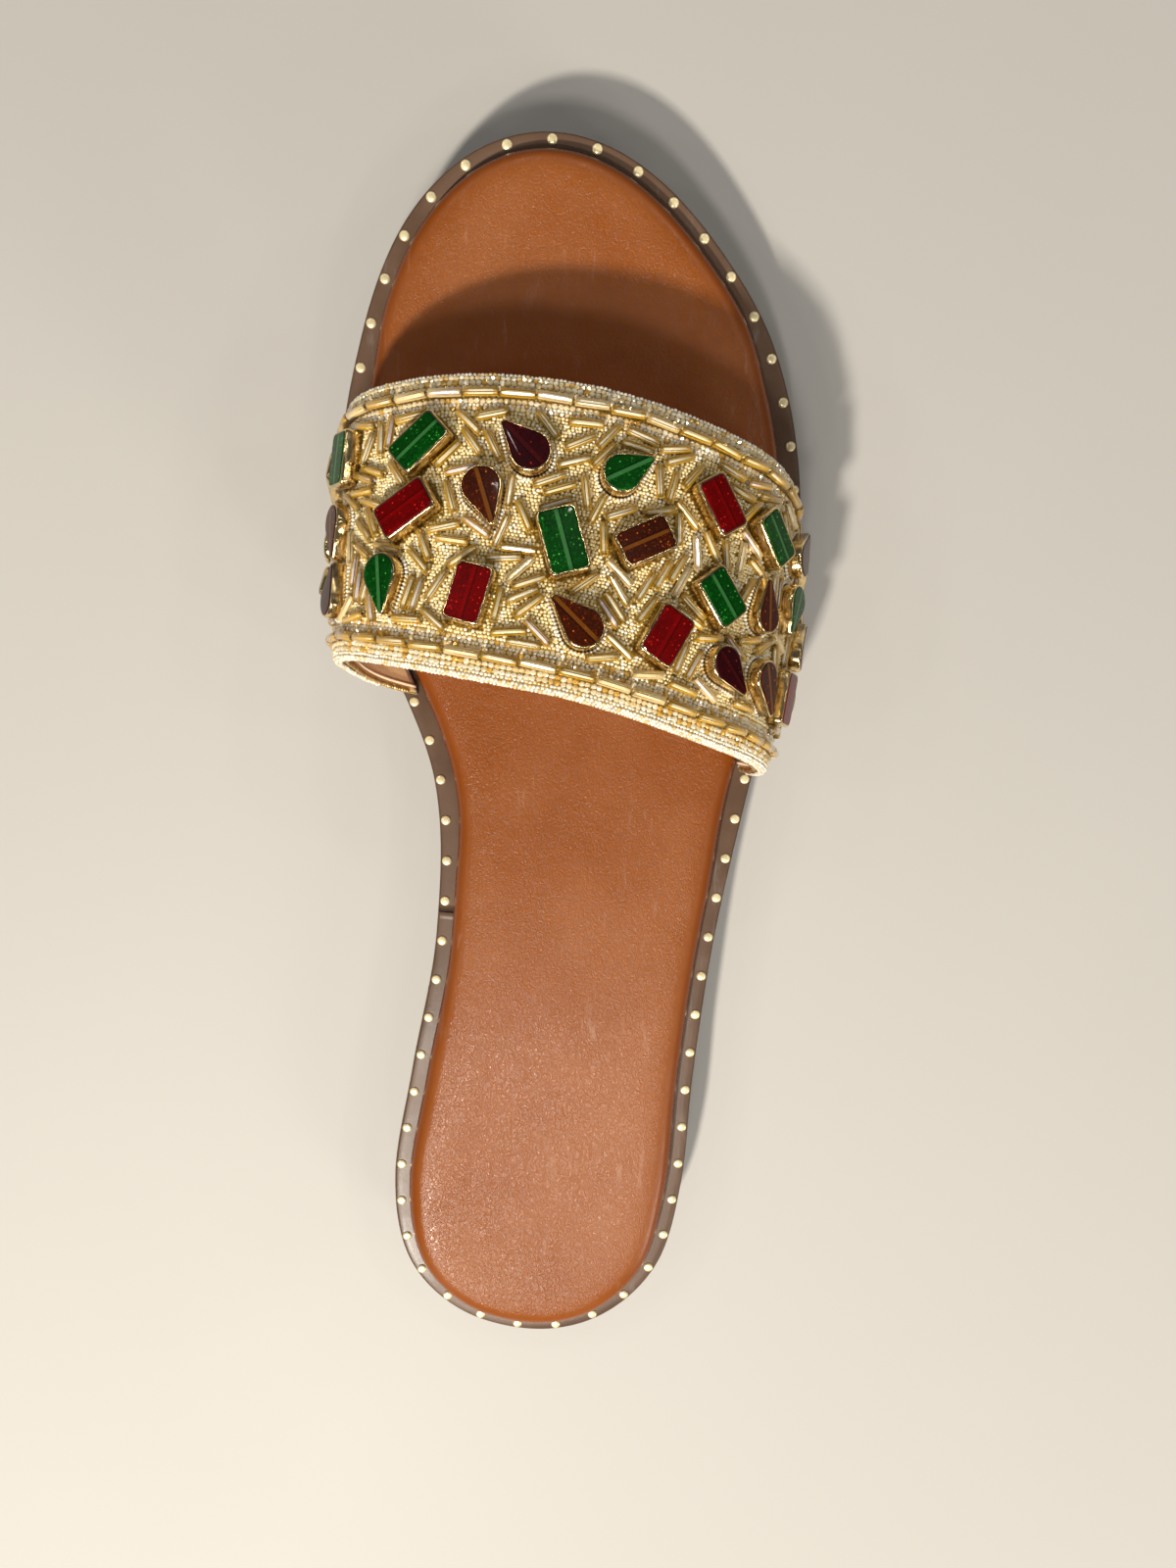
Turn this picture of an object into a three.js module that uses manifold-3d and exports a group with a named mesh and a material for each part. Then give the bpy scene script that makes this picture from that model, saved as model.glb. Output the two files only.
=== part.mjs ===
// Flat slide sandal for the right foot, with one wide beaded band over the instep.
// Lengths are in millimetres. +Y runs from heel to toe, +X towards the little toe, +Z up.

import * as THREE from "three";
import { mergeVertices } from "three/addons/utils/BufferGeometryUtils.js";
import Module from "manifold-3d";

const wasm = await Module();
wasm.setup();

// Sole
const LENGTH = 255;
const CENTRE_SHIFT = -4.6; // the heel-to-toe line stands this far towards the big toe
const FIT = 0.3; // gap left between pieces that touch
const RING_STEPS = 96; // points round every outline
const WELT_TOP = 12; // top of the welt over the floor, under the ball of the foot
const HEEL_RISE = 6; // the heel's welt stands this much higher
const TOE_RISE = 9; // the toe's welt turns up this much
const BALL_Y = 45; // lowest place of the welt
const HEEL_Y = -60; // the welt is level behind this

// Outline of the sole, on both sides of the heel-to-toe line. Station is an angle in degrees:
// the place along the sole is -LENGTH / 2 * cos(station), so rows gather at heel and toe.
const OUTLINE = [
  { station: 0, inner: 0, outer: 0 },
  { station: 15, inner: -17.3, outer: 15.4 },
  { station: 30, inner: -29.3, outer: 27.1 },
  { station: 45, inner: -32.5, outer: 32.0 },
  { station: 60, inner: -28.4, outer: 33.8 },
  { station: 75, inner: -23.2, outer: 37.4 },
  { station: 90, inner: -24.0, outer: 43.9 },
  { station: 105, inner: -36.6, outer: 51.3 },
  { station: 120, inner: -43.2, outer: 51.9 },
  { station: 135, inner: -38.7, outer: 45.0 },
  { station: 150, inner: -30.0, outer: 30.9 },
  { station: 165, inner: -16.8, outer: 15.3 },
  { station: 180, inner: -1.0, outer: -1.0 },
];

// Underside of the outsole
const HEEL_BEVEL = { start: -112, rise: 1.6 };
const ARCH = { start: -56, end: 2, rise: 4.5 };
const TOE_SPRING = { start: 70, rise: 8.5 };

// Welt: the flat leather strip that shows round the footbed, with a row of round studs
const WELT_THICK = 3.2;
const WELT_WIDTH = 8.3;
const WELT_ROUND = 0.6;
const STUDS = { count: 67, inset: 1.45, radius: 0.98, sink: 0.36, start: 0.0077 };

// Footbed: a pad with a rolled edge. Each row is a ring: distance in from the sole's edge, and up.
const FOOTBED_RINGS = [
  { inset: 5.3, up: 0.3 },
  { inset: 4.6, up: 1.0 },
  { inset: 4.6, up: 2.2 },
  { inset: 5.2, up: 3.7 },
  { inset: 6.6, up: 4.8 },
  { inset: 9.0, up: 5.3 },
  { inset: 19.0, up: 4.9 },
];

// Band: around runs over the foot, -1 at the inner base, 0 on the crest, 1 at the outer base;
// along runs from 0 at the band's back edge to 1 at its front edge.
const BAND_EDGES = [
  { around: -1.0, back: 18.0, front: 70.0 },
  { around: -0.72, back: 25.3, front: 72.0 },
  { around: -0.4, back: 28.6, front: 76.0 },
  { around: 0.0, back: 25.0, front: 77.0 },
  { around: 0.4, back: 13.4, front: 67.6 },
  { around: 0.72, back: 5.5, front: 59.0 },
  { around: 1.0, back: 3.3, front: 57.0 },
];
// Widest places and heights, from the heel-to-toe line and over WELT_TOP
const BAND_RIBS = [
  { along: 0.0, inner: -40.4, outer: 44.4, wideUp: 18.0, crest: 55.0 },
  { along: 0.5, inner: -39.5, outer: 48.0, wideUp: 16.5, crest: 47.5 },
  { along: 1.0, inner: -38.2, outer: 48.2, wideUp: 15.0, crest: 39.0 },
];
const WIDE_AT = 0.72; // share of the way from crest to base where the band is widest
const FULLNESS = { inner: 2.3, outer: 2.1 }; // 2 is an ellipse, more is squarer
const BAND_INSET = 2.5; // the band's outer face at its base, in from the sole's edge
const WALL = { base: 1.3, full: 2.6, thinBelow: 0.93, fullAbove: 0.75 };
const BAND_STEPS = { around: 56, along: 8 };

// Borders: bead strips that lie on the band along its two edges
const BORDERS = [
  { name: "back_border", from: 0.012, to: 0.132 },
  { name: "front_border", from: 0.874, to: 0.988 },
];
const BORDER = { reach: 0.93, low: 0.3, high: 1.4, steps: 52 };

// Stones: turn is measured on the band, anticlockwise from the direction of growing around.
const STONE = { seat: 0.3, high: 3.0, bevel: 0.8, cornerCut: 0.9 };
const STONES = [
  { name: "stone_green_1", cut: "table", around: -0.227, along: 0.752, turn: 44, long: 10.5, wide: 6.7 },
  { name: "stone_garnet_1", cut: "drop", around: -0.024, along: 0.757, turn: 139, long: 11.1, wide: 7.6 },
  { name: "stone_green_2", cut: "drop", around: 0.132, along: 0.738, turn: 40, long: 10.2, wide: 7.2 },
  { name: "stone_red_1", cut: "table", around: 0.304, along: 0.735, turn: -46, long: 10.4, wide: 6.6 },
  { name: "stone_green_3", cut: "table", around: 0.454, along: 0.717, turn: -40, long: 10.2, wide: 6.4 },
  { name: "stone_red_2", cut: "table", around: -0.250, along: 0.523, turn: 36, long: 11.0, wide: 6.8 },
  { name: "stone_amber_1", cut: "drop", around: -0.086, along: 0.575, turn: -66, long: 11.1, wide: 7.4 },
  { name: "stone_green_4", cut: "table", around: 0.033, along: 0.466, turn: -66, long: 11.8, wide: 7.2 },
  { name: "stone_amber_2", cut: "table", around: 0.161, along: 0.530, turn: 39, long: 10.4, wide: 6.6 },
  { name: "stone_green_5", cut: "table", around: 0.310, along: 0.445, turn: -40, long: 9.8, wide: 7.0 },
  { name: "stone_amber_3", cut: "drop", around: 0.430, along: 0.482, turn: 104, long: 10.2, wide: 6.2 },
  { name: "stone_green_6", cut: "drop", around: -0.298, along: 0.262, turn: -75, long: 11.0, wide: 7.2 },
  { name: "stone_red_3", cut: "table", around: -0.107, along: 0.256, turn: -97, long: 10.4, wide: 6.7 },
  { name: "stone_amber_4", cut: "drop", around: 0.055, along: 0.228, turn: 147, long: 11.4, wide: 7.4 },
  { name: "stone_red_4", cut: "table", around: 0.207, along: 0.262, turn: -107, long: 10.0, wide: 7.0 },
  { name: "stone_garnet_2", cut: "drop", around: 0.347, along: 0.228, turn: -35, long: 10.4, wide: 6.8 },
  { name: "stone_amber_5", cut: "drop", around: 0.462, along: 0.228, turn: -58, long: 10.8, wide: 6.6 },
  { name: "stone_green_7", cut: "table", around: -0.500, along: 0.750, turn: 84, long: 10.2, wide: 6.6 },
  { name: "stone_amber_6", cut: "drop", around: -0.500, along: 0.470, turn: -78, long: 10.8, wide: 6.8 },
  { name: "stone_garnet_3", cut: "drop", around: -0.500, along: 0.250, turn: 66, long: 10.4, wide: 6.8 },
  { name: "stone_garnet_4", cut: "drop", around: 0.600, along: 0.752, turn: 70, long: 10.4, wide: 6.8 },
  { name: "stone_green_8", cut: "drop", around: 0.545, along: 0.530, turn: -100, long: 10.2, wide: 6.6 },
  { name: "stone_amber_7", cut: "drop", around: 0.650, along: 0.452, turn: 75, long: 10.2, wide: 6.6 },
  { name: "stone_red_5", cut: "table", around: 0.575, along: 0.243, turn: 96, long: 10.4, wide: 6.6 },
  { name: "stone_red_6", cut: "table", around: -0.720, along: 0.760, turn: 28, long: 10.4, wide: 6.6 },
  { name: "stone_green_9", cut: "drop", around: -0.720, along: 0.528, turn: 112, long: 10.8, wide: 6.8 },
  { name: "stone_amber_8", cut: "drop", around: -0.690, along: 0.320, turn: -24, long: 10.4, wide: 6.6 },
  { name: "stone_green_10", cut: "table", around: 0.780, along: 0.755, turn: -24, long: 10.2, wide: 6.6 },
  { name: "stone_red_7", cut: "table", around: 0.780, along: 0.520, turn: 62, long: 10.2, wide: 6.6 },
  { name: "stone_garnet_5", cut: "drop", around: 0.780, along: 0.270, turn: -18, long: 10.4, wide: 6.8 },
];

// Finishes
const FINISHES = {
  sole: { color: 0x4a3b33, roughness: 0.7, metalness: 0 },
  welt: { color: 0x6b574c, roughness: 0.5, metalness: 0 },
  footbed: { color: 0xa85a2a, roughness: 0.4, metalness: 0 },
  cloth: { color: 0xe8d6a4, roughness: 0.6, metalness: 0 },
  beads: { color: 0xd8b870, roughness: 0.25, metalness: 0.6 },
  green: { color: 0x06662a, roughness: 0.1, metalness: 0 },
  red: { color: 0xb00016, roughness: 0.1, metalness: 0 },
  amber: { color: 0x8a4a12, roughness: 0.1, metalness: 0 },
  garnet: { color: 0x4a0412, roughness: 0.1, metalness: 0 },
};

const knots = [
  ...OUTLINE.map((row) => [row.station, row.inner]),
  ...OUTLINE.slice(1, -1).reverse().map((row) => [row.station, row.outer]),
].map(([station, x]) => {
  const y = (-LENGTH / 2) * Math.cos(THREE.MathUtils.degToRad(station));
  return new THREE.Vector3(x + CENTRE_SHIFT, y, 0);
});
const outline = new THREE.CatmullRomCurve3(knots, true, "catmullrom", 0.5);

/** Height of the welt's top over the floor. */
function weltTop(y) {
  const heel = THREE.MathUtils.smoothstep(BALL_Y - y, 0, BALL_Y - HEEL_Y);
  const toe = Math.max(0, (y - BALL_Y) / (LENGTH / 2 - BALL_Y));
  return WELT_TOP + HEEL_RISE * heel + TOE_RISE * toe ** 2;
}

/** Height of the outsole's underside: level under heel and forefoot, raised at arch and toe. */
function underside(y) {
  const back = Math.max(0, (HEEL_BEVEL.start - y) / (HEEL_BEVEL.start + LENGTH / 2));
  const waist = THREE.MathUtils.clamp((y - ARCH.start) / (ARCH.end - ARCH.start), 0, 1);
  const toe = Math.max(0, (y - TOE_SPRING.start) / (LENGTH / 2 - TOE_SPRING.start));
  return (
    HEEL_BEVEL.rise * back ** 2 +
    ARCH.rise * Math.sin(Math.PI * waist) ** 2 +
    TOE_SPRING.rise * toe ** 2
  );
}

/** A point at share t round the outline (0 heel, 0.5 toe), moved inwards by inset. */
function edgePoint(t, inset, heightAt) {
  const place = outline.getPoint(t);
  const course = outline.getTangent(t);
  const x = place.x + course.y * inset;
  const y = place.y - course.x * inset;
  return new THREE.Vector3(x, y, heightAt(y));
}

function ring(inset, heightAt) {
  const points = [];
  for (let i = 0; i < RING_STEPS; i += 1) {
    points.push(edgePoint(i / RING_STEPS, inset, heightAt));
  }
  return points;
}

function geometry(points, triangles) {
  const made = new THREE.BufferGeometry();
  made.setFromPoints(points);
  made.setIndex(triangles);
  made.computeVertexNormals();
  return made;
}

/** Walls between one ring and the next above it. */
function ringWalls(rings, closed) {
  const n = rings[0].length;
  const triangles = [];
  const last = closed ? rings.length : rings.length - 1;
  for (let r = 0; r < last; r += 1) {
    const low = r * n;
    const high = ((r + 1) % rings.length) * n;
    for (let i = 0; i < n; i += 1) {
      const j = (i + 1) % n;
      triangles.push(low + i, high + i, high + j);
      triangles.push(low + i, high + j, low + j);
    }
  }
  return triangles;
}

/** Cap straight across the sole: points i and n - i stand at the same place along it. */
function ladderCap(first, n, facesUp) {
  const triangles = [];
  const add = (a, b, c) => triangles.push(...(facesUp ? [a, b, c] : [a, c, b]));
  add(first, first + n - 1, first + 1);
  for (let i = 1; i < n / 2 - 1; i += 1) {
    add(first + i, first + n - i, first + n - i - 1);
    add(first + i, first + n - i - 1, first + i + 1);
  }
  add(first + n / 2 - 1, first + n / 2 + 1, first + n / 2);
  return triangles;
}

/** Solid from rings stacked upwards, closed at the bottom and top. */
function stack(rings) {
  const n = rings[0].length;
  const triangles = [
    ...ringWalls(rings, false),
    ...ladderCap(0, n, false),
    ...ladderCap((rings.length - 1) * n, n, true),
  ];
  return geometry(rings.flat(), triangles);
}

function outsole() {
  const ledge = (y) => weltTop(y) - WELT_THICK - FIT;
  const shelf = WELT_WIDTH + FIT;
  return stack([
    ring(3.4, underside),
    ring(1.7, (y) => underside(y) + 1.3),
    ring(1.1, (y) => THREE.MathUtils.lerp(underside(y) + 1.3, ledge(y), 0.5)),
    ring(0.8, ledge),
    ring(shelf, ledge),
    ring(shelf, weltTop),
  ]);
}

function toManifold(made) {
  const mesh = new wasm.Mesh({
    numProp: 3,
    vertProperties: new Float32Array(made.attributes.position.array),
    triVerts: new Uint32Array(made.index.array),
  });
  return new wasm.Manifold(mesh);
}

function fromManifold(solid) {
  const mesh = solid.getMesh();
  const made = new THREE.BufferGeometry();
  const places = Float32Array.from(mesh.vertProperties);
  made.setAttribute("position", new THREE.BufferAttribute(places, 3));
  made.setIndex(Array.from(mesh.triVerts));
  made.computeVertexNormals();
  return made;
}

/** Places at equal distances along the stud line. */
function studPlaces() {
  const line = new THREE.CatmullRomCurve3(
    Array.from({ length: 480 }, (_, i) => edgePoint(i / 480, STUDS.inset, weltTop)),
    true,
  );
  line.arcLengthDivisions = 2000;
  return Array.from({ length: STUDS.count }, (_, i) =>
    line.getPointAt((i / STUDS.count + STUDS.start) % 1),
  );
}

/** The welt strip with its studs, joined as one solid. */
function welt() {
  const top = weltTop;
  const bottom = (y) => weltTop(y) - WELT_THICK;
  const rings = [
    ring(WELT_ROUND, bottom),
    ring(0, (y) => bottom(y) + WELT_ROUND),
    ring(0, (y) => top(y) - WELT_ROUND),
    ring(WELT_ROUND, top),
    ring(WELT_WIDTH, top),
    ring(WELT_WIDTH, bottom),
  ];
  const strip = toManifold(geometry(rings.flat(), ringWalls(rings, true)));
  const studs = studPlaces().map((place) => {
    const dome = new THREE.SphereGeometry(STUDS.radius, 6, 4);
    dome.deleteAttribute("uv");
    dome.deleteAttribute("normal");
    dome.rotateX(Math.PI / 2);
    dome.translate(place.x, place.y, place.z - STUDS.sink);
    return toManifold(mergeVertices(dome, 1e-4));
  });
  return fromManifold(wasm.Manifold.union([strip, ...studs]));
}

function footbed() {
  return stack(FOOTBED_RINGS.map((row) => ring(row.inset, (y) => weltTop(y) + row.up)));
}

/** Smooth value of a column between the rows of a table. */
function ease(rows, key, column, at) {
  let i = 0;
  while (i < rows.length - 2 && at > rows[i + 1][key]) {
    i += 1;
  }
  const slope = (k) => {
    const a = rows[Math.max(0, k - 1)];
    const b = rows[Math.min(rows.length - 1, k + 1)];
    return (b[column] - a[column]) / (b[key] - a[key]);
  };
  const span = rows[i + 1][key] - rows[i][key];
  const t = (at - rows[i][key]) / span;
  const h = t * t * (3 - 2 * t);
  return (
    rows[i][column] * (1 - h) +
    rows[i + 1][column] * h +
    span * slope(i) * t * (1 - t) ** 2 -
    span * slope(i + 1) * t * t * (1 - t)
  );
}

/** Where the band's outer face meets the welt, on one side at a place along the sole. */
function bandBase(side, y) {
  let asked = y;
  let found;
  for (let i = 0; i < 4; i += 1) {
    const turn = Math.acos(-asked / (LENGTH / 2)) / (2 * Math.PI);
    found = edgePoint(side === "inner" ? turn : 1 - turn, BAND_INSET, weltTop);
    asked += y - found.y;
  }
  return found;
}

/** The band's outer face. */
function bandFace(around, along) {
  const side = around < 0 ? "inner" : "outer";
  const share = Math.abs(around);
  const back = ease(BAND_EDGES, "around", "back", around);
  const front = ease(BAND_EDGES, "around", "front", around);
  const y = THREE.MathUtils.lerp(back, front, along);
  const wide = ease(BAND_RIBS, "along", side, along);
  const wideUp = WELT_TOP + ease(BAND_RIBS, "along", "wideUp", along);
  if (share <= WIDE_AT) {
    const crest = WELT_TOP + ease(BAND_RIBS, "along", "crest", along);
    const turn = (share / WIDE_AT) * (Math.PI / 2);
    const power = 2 / FULLNESS[side];
    const x = CENTRE_SHIFT + wide * Math.sin(turn) ** power;
    const z = wideUp + (crest - wideUp) * Math.max(0, Math.cos(turn)) ** power;
    return new THREE.Vector3(x, y, z);
  }
  const end = Math.sign(around);
  const baseBack = ease(BAND_EDGES, "around", "back", end);
  const baseFront = ease(BAND_EDGES, "around", "front", end);
  const base = bandBase(side, THREE.MathUtils.lerp(baseBack, baseFront, along));
  const fall = (share - WIDE_AT) / (1 - WIDE_AT);
  const x = THREE.MathUtils.lerp(CENTRE_SHIFT + wide, base.x, fall ** 2);
  const z = THREE.MathUtils.lerp(wideUp, base.z + FIT, fall);
  return new THREE.Vector3(x, y, z);
}

/** Outward direction of the band's outer face, with its direction of growing around. */
function bandFrame(around, along) {
  const step = 0.004;
  const low = Math.max(-1, around - step);
  const high = Math.min(1, around + step);
  const back = Math.max(0, along - step);
  const front = Math.min(1, along + step);
  const across = bandFace(high, along).sub(bandFace(low, along)).normalize();
  const ahead = bandFace(around, front).sub(bandFace(around, back));
  const out = new THREE.Vector3().crossVectors(across, ahead).normalize();
  return { across, out };
}

/** A point of the band's outer face moved outwards by lift. */
function bandPoint(around, along, lift) {
  const point = bandFace(around, along).addScaledVector(bandFrame(around, along).out, lift);
  if (lift < 0) {
    point.z = Math.max(point.z, weltTop(point.y) + FIT);
  }
  return point;
}

function wallThickness(around) {
  const share = Math.abs(around);
  const thick = 1 - THREE.MathUtils.smoothstep(share, WALL.fullAbove, WALL.thinBelow);
  return THREE.MathUtils.lerp(WALL.base, WALL.full, thick);
}

/** Closed sheet between an outer and an inner face, both given over a grid. */
function shell(columns, rows, outerAt, innerAt) {
  const points = [];
  const triangles = [];
  const width = rows + 1;
  const inside = (columns + 1) * width;
  for (const at of [outerAt, innerAt]) {
    for (let i = 0; i <= columns; i += 1) {
      for (let j = 0; j <= rows; j += 1) {
        points.push(at(i / columns, j / rows));
      }
    }
  }
  const quad = (a, b, c, d) => triangles.push(a, b, c, a, c, d);
  for (let i = 0; i < columns; i += 1) {
    for (let j = 0; j < rows; j += 1) {
      const a = i * width + j;
      quad(a, a + width, a + width + 1, a + 1);
      quad(inside + a, inside + a + 1, inside + a + width + 1, inside + a + width);
    }
    const back = i * width;
    const front = back + rows;
    quad(back, inside + back, inside + back + width, back + width);
    quad(front, front + width, inside + front + width, inside + front);
  }
  for (let j = 0; j < rows; j += 1) {
    const far = columns * width + j;
    quad(j, j + 1, inside + j + 1, inside + j);
    quad(far, inside + far, inside + far + 1, far + 1);
  }
  return geometry(points, triangles);
}

function upper() {
  const aroundAt = (s) => 2 * s - 1;
  return shell(
    BAND_STEPS.around,
    BAND_STEPS.along,
    (s, along) => bandPoint(aroundAt(s), along, 0),
    (s, along) => bandPoint(aroundAt(s), along, -wallThickness(aroundAt(s))),
  );
}

function border(row) {
  const aroundAt = (s) => BORDER.reach * (2 * s - 1);
  const alongAt = (t) => THREE.MathUtils.lerp(row.from, row.to, t);
  return shell(
    BORDER.steps,
    2,
    (s, t) => bandPoint(aroundAt(s), alongAt(t), BORDER.high),
    (s, t) => bandPoint(aroundAt(s), alongAt(t), BORDER.low),
  );
}

/** Outline of a stone, anticlockwise, with its length along x. */
function stoneOutline(row, inset) {
  const half = row.long / 2 - inset;
  const side = row.wide / 2 - inset;
  if (row.cut === "table") {
    const cut = STONE.cornerCut;
    return [
      [half, -side + cut],
      [half, side - cut],
      [half - cut, side],
      [-half + cut, side],
      [-half, side - cut],
      [-half, -side + cut],
      [-half + cut, -side],
      [half - cut, -side],
    ];
  }
  const centre = -half + side;
  const open = Math.acos(side / (half - centre));
  const points = [
    [half, -0.35],
    [half, 0.35],
  ];
  for (let i = 0; i <= 10; i += 1) {
    const turn = THREE.MathUtils.lerp(open, 2 * Math.PI - open, i / 10);
    points.push([centre + side * Math.cos(turn), side * Math.sin(turn)]);
  }
  return points;
}

function stone(row) {
  const levels = [
    { up: 0, inset: 0 },
    { up: STONE.high - STONE.bevel, inset: 0 },
    { up: STONE.high, inset: STONE.bevel },
  ];
  const rings = levels.map((level) =>
    stoneOutline(row, level.inset).map(([x, y]) => new THREE.Vector3(x, y, level.up)),
  );
  const n = rings[0].length;
  const triangles = [];
  for (let r = 0; r < 2; r += 1) {
    for (let i = 0; i < n; i += 1) {
      const j = (i + 1) % n;
      triangles.push(r * n + i, r * n + j, r * n + n + j);
      triangles.push(r * n + i, r * n + n + j, r * n + n + i);
    }
  }
  for (let i = 1; i < n - 1; i += 1) {
    triangles.push(0, i + 1, i);
    triangles.push(2 * n, 2 * n + i, 2 * n + i + 1);
  }
  return geometry(rings.flat(), triangles);
}

/** Turn and place that lay a stone's flat back on the band. */
function seatStone(mesh, row) {
  const { across, out } = bandFrame(row.around, row.along);
  const ahead = new THREE.Vector3().crossVectors(out, across);
  const turned = new THREE.Matrix4().makeRotationZ(THREE.MathUtils.degToRad(row.turn));
  const seated = new THREE.Matrix4().makeBasis(across, ahead, out).multiply(turned);
  mesh.quaternion.setFromRotationMatrix(seated);
  mesh.position.copy(bandPoint(row.around, row.along, STONE.seat));
}

const sandal = new THREE.Group();
const sole = new THREE.Group();
const band = new THREE.Group();
const stones = new THREE.Group();
sandal.add(sole, band);
band.add(stones);

function add(group, name, made, finish) {
  const material = new THREE.MeshStandardMaterial(FINISHES[finish]);
  const mesh = new THREE.Mesh(made, material);
  mesh.name = name;
  group.add(mesh);
  return mesh;
}

add(sole, "outsole", outsole(), "sole");
add(sole, "welt", welt(), "welt");
add(sole, "footbed", footbed(), "footbed");
add(band, "upper", upper(), "cloth");
for (const row of BORDERS) {
  add(band, row.name, border(row), "beads");
}
for (const row of STONES) {
  const [, colour] = row.name.split("_");
  seatStone(add(stones, row.name, stone(row), colour), row);
}

export default sandal;
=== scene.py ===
"""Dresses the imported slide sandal: leather sole pieces, beaded band, glass stones and a studio stage."""

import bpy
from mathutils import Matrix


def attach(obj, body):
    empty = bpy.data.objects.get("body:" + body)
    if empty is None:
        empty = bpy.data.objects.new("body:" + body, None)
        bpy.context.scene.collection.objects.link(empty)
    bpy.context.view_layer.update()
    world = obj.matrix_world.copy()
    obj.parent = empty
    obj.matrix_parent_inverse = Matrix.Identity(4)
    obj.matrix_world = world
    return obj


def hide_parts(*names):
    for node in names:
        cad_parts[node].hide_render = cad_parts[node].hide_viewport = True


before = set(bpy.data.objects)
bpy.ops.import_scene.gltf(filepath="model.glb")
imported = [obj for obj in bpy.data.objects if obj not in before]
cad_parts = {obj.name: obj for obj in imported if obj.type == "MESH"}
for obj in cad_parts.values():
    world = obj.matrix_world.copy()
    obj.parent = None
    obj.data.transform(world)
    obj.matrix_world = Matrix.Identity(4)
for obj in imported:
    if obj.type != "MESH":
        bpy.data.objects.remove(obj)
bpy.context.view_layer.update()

import math

import bpy
import numpy as np
from bpy.props import FloatProperty, FloatVectorProperty, IntProperty, PointerProperty
from mathutils import Euler, Matrix, Vector

bl_info = {
    "name": "Beaded slide sandal",
    "version": (1, 0, 0),
    "blender": (4, 5, 0),
    "location": "View3D > Sidebar > Sandal",
    "description": "Leather, beads, stones and stage for a flat slide sandal",
    "category": "Object",
}

# Shape of the sandal, in millimetres, in the same frame as the solids.
MM = 0.001
LENGTH = 255.0
CENTRE_SHIFT = -4.6
FIT = 0.3
WELT_TOP = 12.0
HEEL_RISE = 6.0
TOE_RISE = 9.0
BALL_Y = 45.0
HEEL_Y = -60.0
WELT_THICK = 3.2
STUD_LINE = {"count": 67, "inset": 1.45, "start": 0.0077}
SEAM_AT = 0.2140  # share round the outline where the welt's ends meet
SEAM_GAP = 0.0001
RING_COUNT = 240  # points round the outsole and the footbed
WELT_STATIONS = 480

# Sections of the sole's pieces: distance in from the sole's edge, and height. The height is over the
# underside for the foot, a share of the way up for the side, and over the welt's top for the others.
OUTSOLE_FOOT = ((13.0, 0.0), (12.4, 0.7), (10.6, 0.7), (10.0, 0.0), (4.2, 0.0))
OUTSOLE_SIDE = (
    (3.5, 0.0), (2.6, 0.05), (2.0, 0.12), (1.6, 0.28), (1.2, 0.52), (1.0, 0.74),
    (0.95, 0.80), (1.5, 0.83), (1.5, 0.88), (0.9, 0.91), (0.85, 1.0),
)
OUTSOLE_SHELF = 8.6
WELT_SECTION = (
    (0.6, -3.2), (0.17, -3.03), (0.0, -2.6), (0.0, -1.6), (0.0, -0.6), (0.17, -0.17), (0.6, 0.0),
    (1.6, 0.03), (3.2, 0.05), (5.0, 0.03), (7.9, 0.0), (8.3, -0.3), (8.3, -3.0), (8.0, -3.2),
)
# Painted shade for each ring of the welt's section: at the foot of its outer wall, a little at its top
# outer corner, and most towards and down its inner side. WELT_END_SHADE darkens the welt's ends at the
# seam.
WELT_SHADE = (0.7, 0.5, 0.25, 0.0, 0.15, 0.25, 0.1, 0.0, 0.0, 0.15, 0.6, 0.9, 0.9, 0.9)
WELT_END_SHADE = 0.6
FOOTBED_SECTION = (
    (5.3, 0.3), (4.75, 0.6), (4.6, 1.0), (4.55, 1.6), (4.65, 2.3), (4.9, 3.05), (5.3, 3.75),
    (5.9, 4.35), (6.7, 4.82), (7.8, 5.12), (9.2, 5.3), (11.0, 5.36), (13.5, 5.36), (16.5, 5.34),
    (19.5, 5.33),
)
# Painted shade for the first rings of the footbed's section, darkest low on the roll by the welt; the same
# values fade the grain out on the roll.
FOOTBED_SHADE = (1.0, 1.0, 1.0, 0.95, 0.88, 0.78, 0.64, 0.46, 0.27, 0.12, 0.04)
FOOTBED_COLUMNS = 27
# Extra width of the footbed's roll where the band leaves room, the y ranges over which it sets in, and
# the distances from the edge over which it fades.
FOOTBED_GROWTH = {"reach": 1.0, "behind": (-24.0, -4.0), "ahead": (80.0, 96.0), "fades": (5.0, 13.0)}
# Soft hollows of the footbed: depth, x and y of the middle, half width, half length.
HOLLOWS = ((0.6, -4.6, -84.0, 22.0, 26.0), (0.45, -2.0, 48.0, 30.0, 30.0))
HOLLOWS_FROM = 7.8  # distance from the sole's edge where the hollows set in
RIPPLE = 0.05
STUD_PROFILE = ((1.0, -0.12), (1.0, 0.1), (0.94, 0.24), (0.8, 0.34), (0.55, 0.4), (0.28, 0.43), (0, 0.44))

# Outline of the sole: station (degrees), inner and outer edge from the heel-to-toe line.
OUTLINE = (
    (0, 0.0, 0.0),
    (15, -17.3, 15.4),
    (30, -29.3, 27.1),
    (45, -32.5, 32.0),
    (60, -28.4, 33.8),
    (75, -23.2, 37.4),
    (90, -24.0, 43.9),
    (105, -36.6, 51.3),
    (120, -43.2, 51.9),
    (135, -38.7, 45.0),
    (150, -30.0, 30.9),
    (165, -16.8, 15.3),
    (180, -1.0, -1.0),
)
HEEL_BEVEL = {"start": -112.0, "rise": 1.6}
ARCH = {"start": -56.0, "end": 2.0, "rise": 4.5}
TOE_SPRING = {"start": 70.0, "rise": 8.5}

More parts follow.
